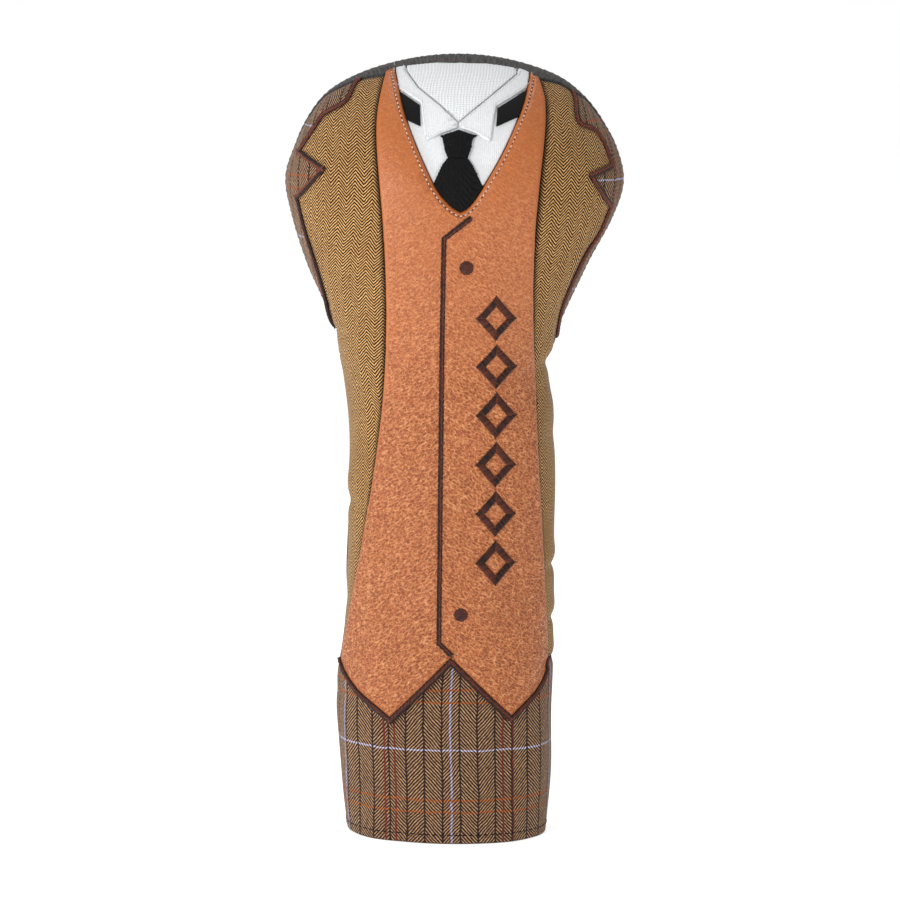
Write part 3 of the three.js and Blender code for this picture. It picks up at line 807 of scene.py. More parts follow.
def make_tan_leather():
    """Tumbled, pebble-grained cowhide with a soft gloss and a pressed rim.

    Fine ridges run up to the placket between smooth orange hollows. The grain's colour is partly
    the hide's own and partly painted light: painted highlights on the ridges, and painted shade in
    the creases and along the very edge. The ridges are faint near the neck and fuller towards the
    hem."""
    material, tree, shader = finish_base("tumbled_tan_cowhide", {
        "IOR": 1.5, "Specular IOR Level": 0.5,
    })
    where = add(tree, "ShaderNodeTexCoord").outputs["Object"]
    parts = add(tree, "ShaderNodeSeparateXYZ", {"Vector": where})
    # The grain rises towards the placket from both sides.
    centred = add(tree, "ShaderNodeMath", {0: parts.outputs["X"], 1: 0.004}, operation="ADD")
    sideways = add(tree, "ShaderNodeMath", {0: centred}, operation="ABSOLUTE")
    mirrored = add(tree, "ShaderNodeCombineXYZ", {"X": sideways, "Y": parts.outputs["Y"],
                                                  "Z": parts.outputs["Z"]})
    bend = add(tree, "ShaderNodeTexNoise", {"Vector": where, "Scale": 260.0, "Detail": 2.0})
    shake = add(tree, "ShaderNodeVectorMath", {
        0: bend.outputs["Color"], 1: (0.0007, 0.0007, 0.0007), 2: mirrored,
    }, operation="MULTIPLY_ADD")
    # Hollows are 1.9 mm long and 1 mm wide, with a ridge all round.
    ridge_way = add(tree, "ShaderNodeMapping", {
        "Vector": shake, "Rotation": (0, math.radians(36), 0), "Scale": (0.0019, 0.0014, 0.00105),
    }, vector_type="TEXTURE")
    cells = add(tree, "ShaderNodeTexVoronoi", {
        "Vector": ridge_way, "Scale": 1.0, "Randomness": 0.9,
    }, feature="DISTANCE_TO_EDGE")
    plump = add(tree, "ShaderNodeMapRange", {"Value": cells, "From Min": 0.2, "From Max": 0.02},
                interpolation_type="SMOOTHSTEP")
    # Wrinkles are 0.9 mm long and 0.4 mm wide.
    wrinkle_way = add(tree, "ShaderNodeMapping", {
        "Vector": shake, "Rotation": (0, math.radians(30), 0), "Scale": (0.0018, 0.0013, 0.0008),
    }, vector_type="TEXTURE")
    wrinkle = add(tree, "ShaderNodeTexNoise", {"Vector": wrinkle_way, "Scale": 1.0, "Detail": 2.0,
                                               "Roughness": 0.55})
    wrinkles = add(tree, "ShaderNodeMapRange", {
        "Value": wrinkle, "From Min": 0.38, "From Max": 0.68,
    })
    patchy = add(tree, "ShaderNodeTexNoise", {"Vector": where, "Scale": 24.0, "Detail": 2.0})
    uneven = add(tree, "ShaderNodeMath", {0: patchy, 1: 0.1, 2: parts.outputs["Z"]},
                 operation="MULTIPLY_ADD")
    fullness = add(tree, "ShaderNodeMapRange", {
        "Value": uneven, "From Min": 0.36, "From Max": 0.22, "To Min": 0.2, "To Max": 0.85,
    }, interpolation_type="SMOOTHSTEP")
    edge = add(tree, "ShaderNodeAttribute", attribute_name="edge")
    off_rim = add(tree, "ShaderNodeMapRange", {"Value": edge.outputs["Fac"], "From Min": 1.3,
                                               "From Max": 2.1, "To Min": 0.12})
    strength = add(tree, "ShaderNodeMath", {0: fullness, 1: off_rim}, operation="MULTIPLY")
    both = add(tree, "ShaderNodeMath", {0: plump, 1: 0.7, 2: wrinkles}, operation="MULTIPLY_ADD")
    relief = add(tree, "ShaderNodeMapRange", {"Value": both, "From Min": 0.0, "From Max": 1.6})
    # Painted light: creases are painted dark as shade and ridges pale as highlights, around the
    # hide's own colour.
    away = add(tree, "ShaderNodeMath", {0: relief, 1: 0.5}, operation="SUBTRACT")
    tone = add(tree, "ShaderNodeMath", {0: away, 1: strength, 2: 0.5}, operation="MULTIPLY_ADD")
    colour = add(tree, "ShaderNodeValToRGB", {"Fac": tone})
    ramp = colour.color_ramp
    ramp.elements[0].position, ramp.elements[0].color = 0.08, linear("#7E3913")
    ramp.elements[1].position, ramp.elements[1].color = 0.98, linear("#D3925F")
    ramp.elements.new(0.5).color = linear("#B2632F")
    pressed_share = add(tree, "ShaderNodeMapRange", {
        "Value": edge.outputs["Fac"], "From Min": 1.3, "From Max": 1.8, "To Min": 0.65,
        "To Max": 0.0,
    })
    pressed = add(tree, "ShaderNodeMix", {
        "Factor": pressed_share, "A": colour.outputs["Color"], "B": linear("#B06029"),
    }, data_type="RGBA")
    # Painted shade: within 0.4 mm of the edge, where the leather turns down, the colour is darkened
    # towards dark brown.
    fold = add(tree, "ShaderNodeMapRange", {"Value": edge.outputs["Fac"], "From Max": 0.4,
                                            "To Min": 0.3})
    shaded = add(tree, "ShaderNodeMix", {
        "Factor": fold, "A": linear("#3E1A0A"), "B": pressed.outputs["Result"],
    }, data_type="RGBA")
    height = add(tree, "ShaderNodeMath", {0: relief, 1: strength}, operation="MULTIPLY")
    bump = add(tree, "ShaderNodeBump", {"Height": height, "Strength": 1.0, "Distance": 0.0005})
    rough = add(tree, "ShaderNodeMapRange", {"Value": relief, "To Min": 0.5, "To Max": 0.3})
    connect(tree, shader, shaded.outputs["Result"], bump, rough)
    return material


def cloth_millimetres(tree):
    """The cloth's own flat coordinates, across and up, in millimetres, with a slight waver."""
    flat = add(tree, "ShaderNodeUVMap", uv_map="cloth")
    measured = add(tree, "ShaderNodeMapping", {"Vector": flat, "Scale": (METRE,) * 3})
    waver = add(tree, "ShaderNodeTexNoise", {"Vector": measured, "Scale": 0.16, "Detail": 2.0})
    drift = add(tree, "ShaderNodeVectorMath", {0: waver.outputs["Color"], 1: (0.5, 0.5, 0.5)},
                operation="SUBTRACT")
    moved = add(tree, "ShaderNodeVectorMath", {0: drift, 1: (1.3, 1.3, 0), 2: measured},
                operation="MULTIPLY_ADD")
    parts = add(tree, "ShaderNodeSeparateXYZ", {"Vector": moved})
    return moved, parts.outputs["X"], parts.outputs["Y"]


def ridges(tree, along, pitch):
    """Even ridges and hollows along one direction of the cloth, from -1 to 1."""
    phase = add(tree, "ShaderNodeMath", {0: along, 1: 2 * math.pi / pitch}, operation="MULTIPLY")
    return add(tree, "ShaderNodeMath", {0: phase}, operation="SINE")


def herringbone_rows(tree, across, up, width, pitch, slope):
    """Twill rows that turn at each column's edge: 0 between the rows and 1 on them."""
    fold = add(tree, "ShaderNodeMath", {0: across, 1: width}, operation="PINGPONG")
    climb = add(tree, "ShaderNodeMath", {0: fold, 1: -slope, 2: up}, operation="MULTIPLY_ADD")
    rows = add(tree, "ShaderNodeMapRange", {
        "Value": ridges(tree, climb, pitch), "From Min": -0.05, "From Max": 0.6,
    }, interpolation_type="SMOOTHSTEP")
    return rows, fold


def painted_seam_shade(tree, colour, reach, dark):
    """Painted shade: cloth within reach of its edge, where it turns down into a seam, is darkened
    towards the dark colour.
    """
    edge = add(tree, "ShaderNodeAttribute", attribute_name="edge")
    open_cloth = add(tree, "ShaderNodeMapRange", {
        "Value": edge.outputs["Fac"], "From Max": reach, "To Min": 0.15,
    }, interpolation_type="SMOOTHSTEP")
    return add(tree, "ShaderNodeMix", {"Factor": open_cloth, "A": dark, "B": colour},
               data_type="RGBA").outputs["Result"]


def connect(tree, shader, colour, bump, roughness=None):
    """Links what varies over the surface to the shader."""
    for name, value in (("Base Color", colour), ("Normal", bump), ("Roughness", roughness)):
        if value is not None:
            socket = value if isinstance(value, bpy.types.NodeSocket) else value.outputs[0]
            tree.links.new(socket, shader.inputs[name])


def weathered(tree, flat, colour, shade):
    """Wide, soft differences of depth in the dye, where the cloth has been handled and folded."""
    wide = add(tree, "ShaderNodeTexNoise", {"Vector": flat, "Scale": 0.07, "Detail": 3.0})
    share = add(tree, "ShaderNodeMapRange", {"Value": wide, "From Min": 0.45, "From Max": 0.72,
                                             "To Max": 0.16})
    return add(tree, "ShaderNodeMix", {"Factor": share, "A": colour, "B": linear(shade)},
               data_type="RGBA").outputs["Result"]


def tufts(tree, where, scale, detail=3.0, roughness=0.7):
    """Uneven fibres: their noise, and how pale each place is by it."""
    noise = add(tree, "ShaderNodeTexNoise", {"Vector": where, "Scale": scale, "Detail": detail,
                                             "Roughness": roughness})
    return noise, add(tree, "ShaderNodeMapRange", {
        "Value": noise, "From Min": 0.3, "From Max": 0.7,
    })


def twill_relief(tree, flat, rows, fuzz_height, depth):
    """Raised twill rows under a fine fuzz."""
    fuzz = add(tree, "ShaderNodeTexNoise", {"Vector": flat, "Scale": 4.0, "Detail": 2.0})
    height = add(tree, "ShaderNodeMath", {0: fuzz, 1: fuzz_height, 2: rows},
                 operation="MULTIPLY_ADD")
    return add(tree, "ShaderNodeBump", {"Height": height, "Strength": 0.6, "Distance": depth})


def make_herringbone():
    """Golden wool herringbone: straw yarn on brown, matt, with a slight nap.

    The real rows are 0.86 mm apart, too fine to show, so they are drawn at 1.4 mm."""
    material, tree, shader = finish_base("golden_wool_herringbone", {
        "IOR": 1.5, "Specular IOR Level": 0.2, "Roughness": 0.88, "Sheen Weight": 0.15,
        "Sheen Roughness": 0.45,
    })
    flat, across, up = cloth_millimetres(tree)
    rows, _ = herringbone_rows(tree, across, up, 3.7, 1.4, 1.05)
    _, tuft = tufts(tree, flat, 0.9)
    straw = add(tree, "ShaderNodeMix", {
        "Factor": tuft, "A": linear("#A66C2A"), "B": linear("#F4C582"),
    }, data_type="RGBA")
    brown = add(tree, "ShaderNodeMix", {
        "Factor": tuft, "A": linear("#0A0400"), "B": linear("#261403"),
    }, data_type="RGBA")
    woven = add(tree, "ShaderNodeMix", {
        "Factor": rows, "A": brown.outputs["Result"], "B": straw.outputs["Result"],
    }, data_type="RGBA")
    worn = weathered(tree, flat, woven.outputs["Result"], "#5E3A17")
    # Painted shade: within 2.6 mm of its edge, beside the leather and the seams, the cloth is
    # darkened towards near black.
    colour = painted_seam_shade(tree, worn, 2.6, linear("#0B0603"))
    connect(tree, shader, colour, twill_relief(tree, flat, rows, 0.35, 0.00022))
    return material


def stripe(tree, along, period, places, width):
    """1 on the lines at these places of each period, 0 between them."""
    found = None
    for place in places:
        turned = add(tree, "ShaderNodeMath", {0: along, 1: period / 2 - place}, operation="ADD")
        wrapped = add(tree, "ShaderNodeMath", {0: turned, 1: period}, operation="FLOORED_MODULO")
        centred = add(tree, "ShaderNodeMath", {0: wrapped, 1: period / 2}, operation="SUBTRACT")
        far = add(tree, "ShaderNodeMath", {0: centred}, operation="ABSOLUTE")
        line = add(tree, "ShaderNodeMapRange", {
            "Value": far, "From Min": width * 0.35, "From Max": width * 0.75, "To Min": 1.0,
            "To Max": 0.0,
        }, interpolation_type="SMOOTHSTEP")
        if found is None:
            found = line
        else:
            found = add(tree, "ShaderNodeMath", {0: found, 1: line}, operation="MAXIMUM")
    return found


def make_plaid():
    """Checked tweed: broad herringbone of khaki on dark plum, with coloured overchecks.

    The overcheck yarns show only where they pass over, on the light rows. The real rows are
    0.86 mm apart, too fine to show, so they are drawn at 1.65 mm."""
    material, tree, shader = finish_base("checked_wool_tweed", {
        "IOR": 1.5, "Specular IOR Level": 0.18, "Roughness": 0.92, "Sheen Weight": 0.12,
        "Sheen Roughness": 0.5,
    })
    flat, across, up = cloth_millimetres(tree)
    shifted = add(tree, "ShaderNodeMath", {0: across, 1: 1.35}, operation="ADD")
    column_width = 7.5
    rows, fold = herringbone_rows(tree, shifted, up, column_width, 1.65, 1.15)
    _, tuft = tufts(tree, flat, 0.7)
    light = add(tree, "ShaderNodeMix", {
        "Factor": tuft, "A": linear("#7A5838"), "B": linear("#CBA278"),
    }, data_type="RGBA").outputs["Result"]
    overchecks = (
        (across, 50.4, (2.4,), 0.7, "#B9B4DC"),
        (across, 50.4, (24.6, 29.2), 0.8, "#84301F"),
        (up, 47.2, (14.3, 19.6), 0.8, "#B5652F"),
        (up, 47.2, (41.1,), 0.65, "#C9C4DE"),
    )
    over = None
    for along, period, places, width, shade in overchecks:
        mask = stripe(tree, along, period, places, width)
        light = add(tree, "ShaderNodeMix", {"Factor": mask, "A": light, "B": linear(shade)},
                    data_type="RGBA").outputs["Result"]
        over = mask if over is None else add(tree, "ShaderNodeMath", {0: over, 1: mask},
                                             operation="MAXIMUM")
    dark = add(tree, "ShaderNodeMix", {
        "Factor": tuft, "A": linear("#0E0608"), "B": linear("#33201F"),
    }, data_type="RGBA")
    lifted = add(tree, "ShaderNodeMath", {0: over, 1: 0.22, 2: rows}, operation="MULTIPLY_ADD")
    shown = add(tree, "ShaderNodeMath", {0: lifted, 1: 1.0}, operation="MINIMUM")
    woven = add(tree, "ShaderNodeMix", {"Factor": shown, "A": dark.outputs["Result"], "B": light},
                data_type="RGBA")
    # Each column ends in a thin dark line, where the twill turns over.
    from_turn = add(tree, "ShaderNodeMath", {0: fold, 1: column_width / 2}, operation="SUBTRACT")
    off_middle = add(tree, "ShaderNodeMath", {0: from_turn}, operation="ABSOLUTE")
    turned = add(tree, "ShaderNodeMapRange", {
        "Value": off_middle, "From Min": 3.2, "From Max": 3.5, "To Max": 0.9,
    }, interpolation_type="SMOOTHSTEP")
    ended = add(tree, "ShaderNodeMix", {
        "Factor": turned, "A": woven.outputs["Result"], "B": linear("#1B0E10"),
    }, data_type="RGBA")
    worn = weathered(tree, flat, ended.outputs["Result"], "#452824")
    # Painted shade: within 1.3 mm of its edge the tweed is darkened towards near black.
    colour = painted_seam_shade(tree, worn, 1.3, linear("#0B0505"))
    connect(tree, shader, colour, twill_relief(tree, flat, rows, 0.4, 0.00028))
    return material


def make_black_leather():
    """Soft charcoal nappa, creased across its length, with a low waxy gloss."""
    material, tree, shader = finish_base("charcoal_nappa_leather", {
        "IOR": 1.5, "Specular IOR Level": 0.4, "Roughness": 0.5,
    })
    flat, _, _ = cloth_millimetres(tree)
    crease_way = add(tree, "ShaderNodeMapping", {"Vector": flat, "Scale": (0.15, 1.3, 1)})
    crease = add(tree, "ShaderNodeTexNoise", {"Vector": crease_way, "Scale": 1.0, "Detail": 4.0,
                                              "Roughness": 0.6})
    pore = add(tree, "ShaderNodeTexVoronoi", {"Vector": flat, "Scale": 1.3},
               feature="DISTANCE_TO_EDGE")
    raised = add(tree, "ShaderNodeMapRange", {"Value": crease, "From Min": 0.35, "From Max": 0.65})
    # Painted light: the crease noise that raises the bump also colours the leather, raised parts
    # painted lighter and hollows darker.
    black = add(tree, "ShaderNodeMix", {
        "Factor": raised, "A": linear("#1D1A1B"), "B": linear("#585352"),
    }, data_type="RGBA")
    # Painted shade: within 1.9 mm of its edges the strip is darkened towards near black, as dark
    # rims.
    colour = painted_seam_shade(tree, black.outputs["Result"], 1.9, linear("#060405"))
    height = add(tree, "ShaderNodeMath", {0: pore, 1: 0.3, 2: raised}, operation="MULTIPLY_ADD")
    bump = add(tree, "ShaderNodeBump", {"Height": height, "Strength": 0.7, "Distance": 0.0003})
    connect(tree, shader, colour, bump)
    return material


def make_white_cloth():
    """Bleached cotton twill: near white, matt, with a fine upright rib."""
    material, tree, shader = finish_base("bleached_cotton", {
        "IOR": 1.5, "Specular IOR Level": 0.2, "Roughness": 0.9, "Sheen Weight": 0.1,
    })
    flat, across, _ = cloth_millimetres(tree)
    # The yarns are 0.4 mm apart, and are drawn at 0.8 mm so that they show.
    rib = ridges(tree, across, 0.8)
    soft, tint = tufts(tree, flat, 0.8, roughness=0.5)
    white = add(tree, "ShaderNodeMix", {
        "Factor": tint, "A": linear("#D6D8DA"), "B": linear("#E2E3E4"),
    }, data_type="RGBA")
    # Painted shade: within 0.3 mm of its edge the cotton is darkened towards light grey, as seam
    # lines.
    colour = painted_seam_shade(tree, white.outputs["Result"], 0.3, linear("#CDCFD1"))
    height = add(tree, "ShaderNodeMath", {0: soft, 1: 1.5, 2: rib}, operation="MULTIPLY_ADD")
    bump = add(tree, "ShaderNodeBump", {"Height": height, "Strength": 0.35, "Distance": 0.0001})
    connect(tree, shader, colour, bump)
    return material


def make_ribbed_cloth():
    """Pale grey rib knit: rows of small raised stitches with shade between them."""
    material, tree, shader = finish_base("pale_rib_knit", {
        "IOR": 1.5, "Specular IOR Level": 0.2, "Roughness": 0.92, "Sheen Weight": 0.15,
    })
    _, across, up = cloth_millimetres(tree)
    knots = add(tree, "ShaderNodeMath", {
        0: ridges(tree, across, 1.25), 1: ridges(tree, up, 1.0),
    }, operation="ADD")
    raised = add(tree, "ShaderNodeMapRange", {"Value": knots, "From Min": -1.2, "From Max": 1.2},
                 interpolation_type="SMOOTHSTEP")
    grey = add(tree, "ShaderNodeMix", {
        "Factor": raised, "A": linear("#DADCDE"), "B": linear("#EDEFF0"),
    }, data_type="RGBA")
    # Painted shade: within 0.4 mm of its edge the knit is darkened towards light grey.
    colour = painted_seam_shade(tree, grey.outputs["Result"], 0.4, linear("#CDCFD1"))
    bump = add(tree, "ShaderNodeBump", {"Height": raised, "Strength": 0.7, "Distance": 0.0003})
    connect(tree, shader, colour, bump)
    return material


def make_thread(name, dark, light, roughness, gloss):
    """Rayon embroidery thread: filaments with a silky shine, dyed unevenly along its length."""
    material, tree, shader = finish_base(name, {
        "IOR": 1.5, "Specular IOR Level": gloss, "Roughness": roughness, "Sheen Weight": 0.1,
        "Sheen Roughness": 0.4,
    })
    tone = add(tree, "ShaderNodeAttribute", attribute_name="tone")
    where = add(tree, "ShaderNodeTexCoord")
    fleck = add(tree, "ShaderNodeTexNoise", {"Vector": where.outputs["Object"], "Scale": 1500.0,
                                             "Detail": 2.0})
    mixed = add(tree, "ShaderNodeMath", {0: fleck, 1: 0.35, 2: tone.outputs["Fac"]},
                operation="MULTIPLY_ADD")
    share = add(tree, "ShaderNodeMapRange", {"Value": mixed, "From Min": 0.17, "From Max": 1.17})
    colour = add(tree, "ShaderNodeMix", {"Factor": share, "A": linear(dark), "B": linear(light)},
                 data_type="RGBA")
    bump = add(tree, "ShaderNodeBump", {"Height": fleck, "Strength": 0.3, "Distance": 0.0001})
    connect(tree, shader, colour.outputs["Result"], bump)
    return material


def make_soft(name, low, high, scale, depth, roughness=0.95):
    """Foam, fleece or knitted elastic: a matt, open, uneven surface."""
    material, tree, shader = finish_base(name, {
        "IOR": 1.45, "Specular IOR Level": 0.15, "Roughness": roughness, "Sheen Weight": 0.2,
    })
    where = add(tree, "ShaderNodeTexCoord")
    pile, tuft = tufts(tree, where.outputs["Object"], scale, detail=4.0)
    colour = add(tree, "ShaderNodeMix", {"Factor": tuft, "A": linear(low), "B": linear(high)},
                 data_type="RGBA")
    bump = add(tree, "ShaderNodeBump", {"Height": pile, "Strength": 0.8, "Distance": depth})
    connect(tree, shader, colour.outputs["Result"], bump)
    return material


TAN_LEATHER = make_tan_leather()
BLACK_LEATHER = make_black_leather()
HERRINGBONE = make_herringbone()
PLAID = make_plaid()
WHITE_CLOTH = make_white_cloth()
RIBBED_CLOTH = make_ribbed_cloth()
BROWN_THREAD = make_thread("brown_rayon_thread", "#0A0302", "#803A24", 0.55, 0.3)
BLACK_THREAD = make_thread("black_rayon_thread", "#020202", "#131315", 0.65, 0.15)
GREY_THREAD = make_thread("grey_cotton_thread", "#C9CBCD", "#DFE1E2", 0.8, 0.2)
# The pale thread stands for a painted highlight on the neck's topstitching.
PAINTED_HIGHLIGHT_THREAD = make_thread("pale_thread_painted_highlight", "#B08E86", "#E8D8D2", 0.8, 0.2)
FOAM = make_soft("polyurethane_foam", "#BDB8A8", "#E4E0D4", 900.0, 0.0003)
FLEECE = make_soft("charcoal_polyester_fleece", "#171516", "#3B3738", 700.0, 0.0006)
ELASTIC_CLOTH = make_soft("knitted_black_elastic", "#151415", "#333133", 1600.0, 0.0002, 0.8)

# Pieces -------------------------------------------------------------------------------------


def make_piece(name, parts, nodes):
    """Joins its parts into one object, and puts it in the place of its CAD nodes."""
    points = np.vstack([p["points"] for p in parts])
    finishes = list(dict.fromkeys(p["finish"] for p in parts))
    faces, uv, finish_of, stored = [], [], [], {"edge": [], "tone": []}
    first = 0
    for p in parts:
        count = len(p["points"])
        faces += [tuple(first + i for i in f) for f in p["faces"]]
        finish_of += [finishes.index(p["finish"])] * len(p["faces"])
        uv.append(np.zeros((count, 2)) if p["uv"] is None else p["uv"])
        for key, default in (("edge", 5.0), ("tone", 0.5)):  # far from an edge, and middling
            stored[key].append(p["attributes"].get(key, np.full(count, default)))
        first += count
    mesh = bpy.data.meshes.new(name)
    placed = points / METRE + np.array([0, MIDDLE, 0])
    mesh.from_pydata(placed.tolist(), [], faces)
    for finish in finishes:
        mesh.materials.append(finish)
    mesh.polygons.foreach_set("material_index", finish_of)
    mesh.polygons.foreach_set("use_smooth", [True] * len(faces))
    corner = np.empty(len(mesh.loops), np.int32)
    mesh.loops.foreach_get("vertex_index", corner)
    flat = mesh.uv_layers.new(name="cloth")
    flat.data.foreach_set("uv", (np.vstack(uv)[corner] / METRE).ravel())
    for key, values in stored.items():
        layer = mesh.attributes.new(key, "FLOAT", "POINT")
        layer.data.foreach_set("value", np.concatenate(values))
    mesh.validate()
    mesh.update()
    piece = bpy.data.objects.new(name, mesh)
    bpy.context.scene.collection.objects.link(piece)
    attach(piece, "root")
    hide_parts(*nodes)
    return piece


def as_cloth(cloth):
    points, uv = cloth["points"], cloth["uv"]
    width, length = np.ptp(uv, axis=0) / METRE
    area = 0.0
    for f in cloth["faces"]:
        corner = points[list(f)]
        for k in range(1, len(f) - 1):
            area += np.linalg.norm(np.cross(corner[k] - corner[0], corner[k + 1] - corner[0])) / 2
    # The skin and its underside were both counted.
    area = min(area / 2 / METRE ** 2, width * length)


front_lines = rim_lines(False) + [level_line(WAIST_SEAM)]
for line in (NECKLINE, WAISTCOAT_LEFT, WAISTCOAT_RIGHT, POINTED_HEM, LAPEL_LEFT, LAPEL_RIGHT,
             closed(COLLAR_LEFT), closed(COLLAR_RIGHT), INNER_COLLAR[:3], INNER_COLLAR[4:],
             closed(BRACE_LEFT), closed(BRACE_RIGHT), closed(KNOT), closed(BLADE_GROUND)):
    front_lines += drawn(line)
front_half = (*cut_cloth(front_lines, False), False)
back_lines = rim_lines(True) + [level_line(WAIST_SEAM), level_line(THROAT_SEAM)]
back_half = (*cut_cloth(back_lines, True), True)


def centres_of(half):
    """The middle of each triangle: its turn, and its place in the front or back view."""
    pattern, triangles, behind = half
    turn, z = on_body(pattern[triangles].mean(1))
    points, _ = lay(turn + (math.pi if behind else 0), z)
    kept = np.abs(turn) < np.where(z > THROAT_SEAM, gusset_turn(z, behind), HALF_TURN)
    kept &= (z > 0) & (z < CROWN_LIMIT)
    return points[:, [0, 2]], kept


view, on_front = centres_of(front_half)
in_neck = on_front & inside(view, NECKLINE)
in_waistcoat = on_front & ~in_neck & inside(view, WAISTCOAT)
rest = on_front & ~in_neck & ~in_waistcoat
in_shoulder = {"left": rest & inside(view, SHOULDER_LEFT),
               "right": rest & inside(view, SHOULDER_RIGHT)}
rest &= ~in_shoulder["left"] & ~in_shoulder["right"]
# The band runs up between the two points of the waistcoat's hem.
between_points = (view[:, 1] < 85) & (np.abs(view[:, 0]) < 20)
in_band = rest & ((view[:, 1] < WAIST_SEAM) | between_points)
rest &= ~in_band
in_jacket = {"left": rest & (view[:, 0] < 0), "right": rest & (view[:, 0] > 0)}

back_view, on_back = centres_of(back_half)
in_back_band = on_back & (back_view[:, 1] < WAIST_SEAM)
in_back_neck = on_back & (back_view[:, 1] > WAIST_SEAM) & (back_view[:, 1] < THROAT_SEAM)
in_back_head = on_back & (back_view[:, 1] > THROAT_SEAM)

STITCH_INSET = 1.8  # from the neck's edge to its topstitching


def waistcoat_detail(at, reach):
    """A rolled rim and a sunk row of stitching round the neck, and a dip under the placket."""
    from_neck = distance_to(NECKLINE, at)
    from_placket = distance_to(PLACKET, at)
    from_hem = distance_to(POINTED_HEM, at)
    rim = 0.15 * np.exp(-((from_neck - 0.9) / 0.5) ** 2)
    groove = -0.55 * np.exp(-((from_neck - STITCH_INSET) / 0.4) ** 2)
    dip = -0.45 * np.exp(-(from_placket / 1.5) ** 2)
    pulled = -1.0 * np.exp(-(from_hem / 2.2) ** 2)
    puffed = 0.35 * (1 - np.exp(-(reach / 9) ** 2))
    return rim + groove + dip + pulled + puffed


def make_waistcoat():
    leather = patch(front_half, in_waistcoat, LEATHER, 2.0, TAN_LEATHER, waistcoat_detail, 2.2)
    inset = np.vstack([offset(NECK_LEFT, -STITCH_INSET), offset(NECK_RIGHT[1:], -STITCH_INSET)])
    # Every other dash is pale thread: a painted highlight along the row of dark brown stitching.
    dark, pale = row_of_stitches(inset, 2.15, 2.1, (1.15, 0.45, 0.45),
                                 [(0, 0, 0.2), (0, 0.05, 0.6)])
    piece = make_piece("waistcoat_panel_leather",
                       [leather, sewn([dark], BROWN_THREAD), sewn([pale], PAINTED_HIGHLIGHT_THREAD)],
                       ["waistcoat_panel"])
    hem_lanes = [(-1.1, -0.5, 0.0), (-0.6, -0.05, 0.1), (0.0, 0.12, 0.5), (0.6, -0.05, 0.3),
                 (1.1, -0.5, 0.0)]
    make_edging("waistcoat_hem_edging", POINTED_HEM, 2.4, (-0.9, 1.45), 0.9, hem_lanes)
    placket_lanes = [(-0.75, -0.1, 0.0), (-0.25, 0.1, 0.1), (0.25, 0.1, 0.5), (0.75, -0.1, 0.1)]
    make_edging("placket_edging", PLACKET, 1.9, (-0.7, 0.45), 2.35, placket_lanes)


def offset(line, distance):
    """The line moved sideways by a distance, to its left."""
    line = np.asarray(line, float)
    ahead = unit(np.gradient(line, axis=0))
    return line + np.stack([-ahead[:, 1], ahead[:, 0]], -1) * distance


def shows(length):
    """Whether any of a line lies on the front, clear of the leather strip."""
    return any((np.abs(run[:, 0]) < gusset_turn(run[:, 1], False)).any() for run in drawn(length))


def make_edging(node, line, width, core, out, lanes, swapped_below=0):
    """A stitched edging: a plump core, and lanes of long stitches over it, dark and rust.

    The dark lanes at its sides are partly the thread's own colour and partly painted shade where
    the cord turns down. Lengths that lie below the given height have their lanes the other way
    round, which moves that painted shade to the other side."""
    parts, sets = [], []
    for length in corners_of(line):
        if not shows(length):
            continue
        length = stretched(length, 0.35 * width)
        parts.append(bead(length, width, core[0], core[1], out, BROWN_THREAD))
        chosen = lanes
        if length[:, 1].max() < swapped_below:
            chosen = [(-s, r, t) for s, r, t in lanes]
        sets += row_of_stitches(length, out + core[1] - 0.12, 2.0, (2.3, 0.62, 0.5), chosen, 0.1)
    parts.append(sewn(sets, BROWN_THREAD))
    make_piece(f"{node}_thread", parts, [node])


make_waistcoat()


def make_button(which):
    x, z = BUTTONS[which]
    angles = np.linspace(0, 2 * math.pi, 28, endpoint=False)
    ring = np.stack([x + BUTTON_RADIUS * np.cos(angles), z + BUTTON_RADIUS * np.sin(angles)], -1)
    satin = hatch(ring, 0.25, 0.42, 2.1, 2.5, 0.55, 0.3, dome=0.55)
    dome = pad(ring, 2.0, 2.75, 0.4)
    make_piece(f"button_{which}_thread", [dome, sewn(satin, BROWN_THREAD)], [f"button_{which}"])


def pad(outline, low, high, middle_rise):
    """A low domed bed of thread under fill stitches; the outline runs anticlockwise."""
    outline = np.asarray(outline, float)
    middle = outline.mean(0)
    rings = []
    # Each ring is a share of the outline's size, at a height.
    for share, height in ((1, low), (1, high - 0.15), (0.93, high), (0.6, high + middle_rise * 0.6),
                          (0.25, high + middle_rise * 0.95)):
        at = middle + (outline - middle) * share
        rings.append(lay(turn_of(*at.T), at[:, 1], height)[0])
    tip = lay(turn_of(*middle), middle[1], high + middle_rise)[0]
    count = len(outline)
    points = np.vstack(rings + [tip[None]])
    faces = [tuple(range(count))[::-1]]
    for first in range(0, (len(rings) - 1) * count, count):
        for i in range(count):
            a, b = first + i, first + (i + 1) % count
            faces.append((a, b, b + count, a + count))
    last = (len(rings) - 1) * count
    faces += [(last + i, last + (i + 1) % count, len(points) - 1) for i in range(count)]
    return part(points, faces, BROWN_THREAD, tone=np.full(len(points), 0.15))


def signed_area(outline):
    x, z = np.asarray(outline, float).T
    return (x * np.roll(z, -1) - np.roll(x, -1) * z).sum() / 2


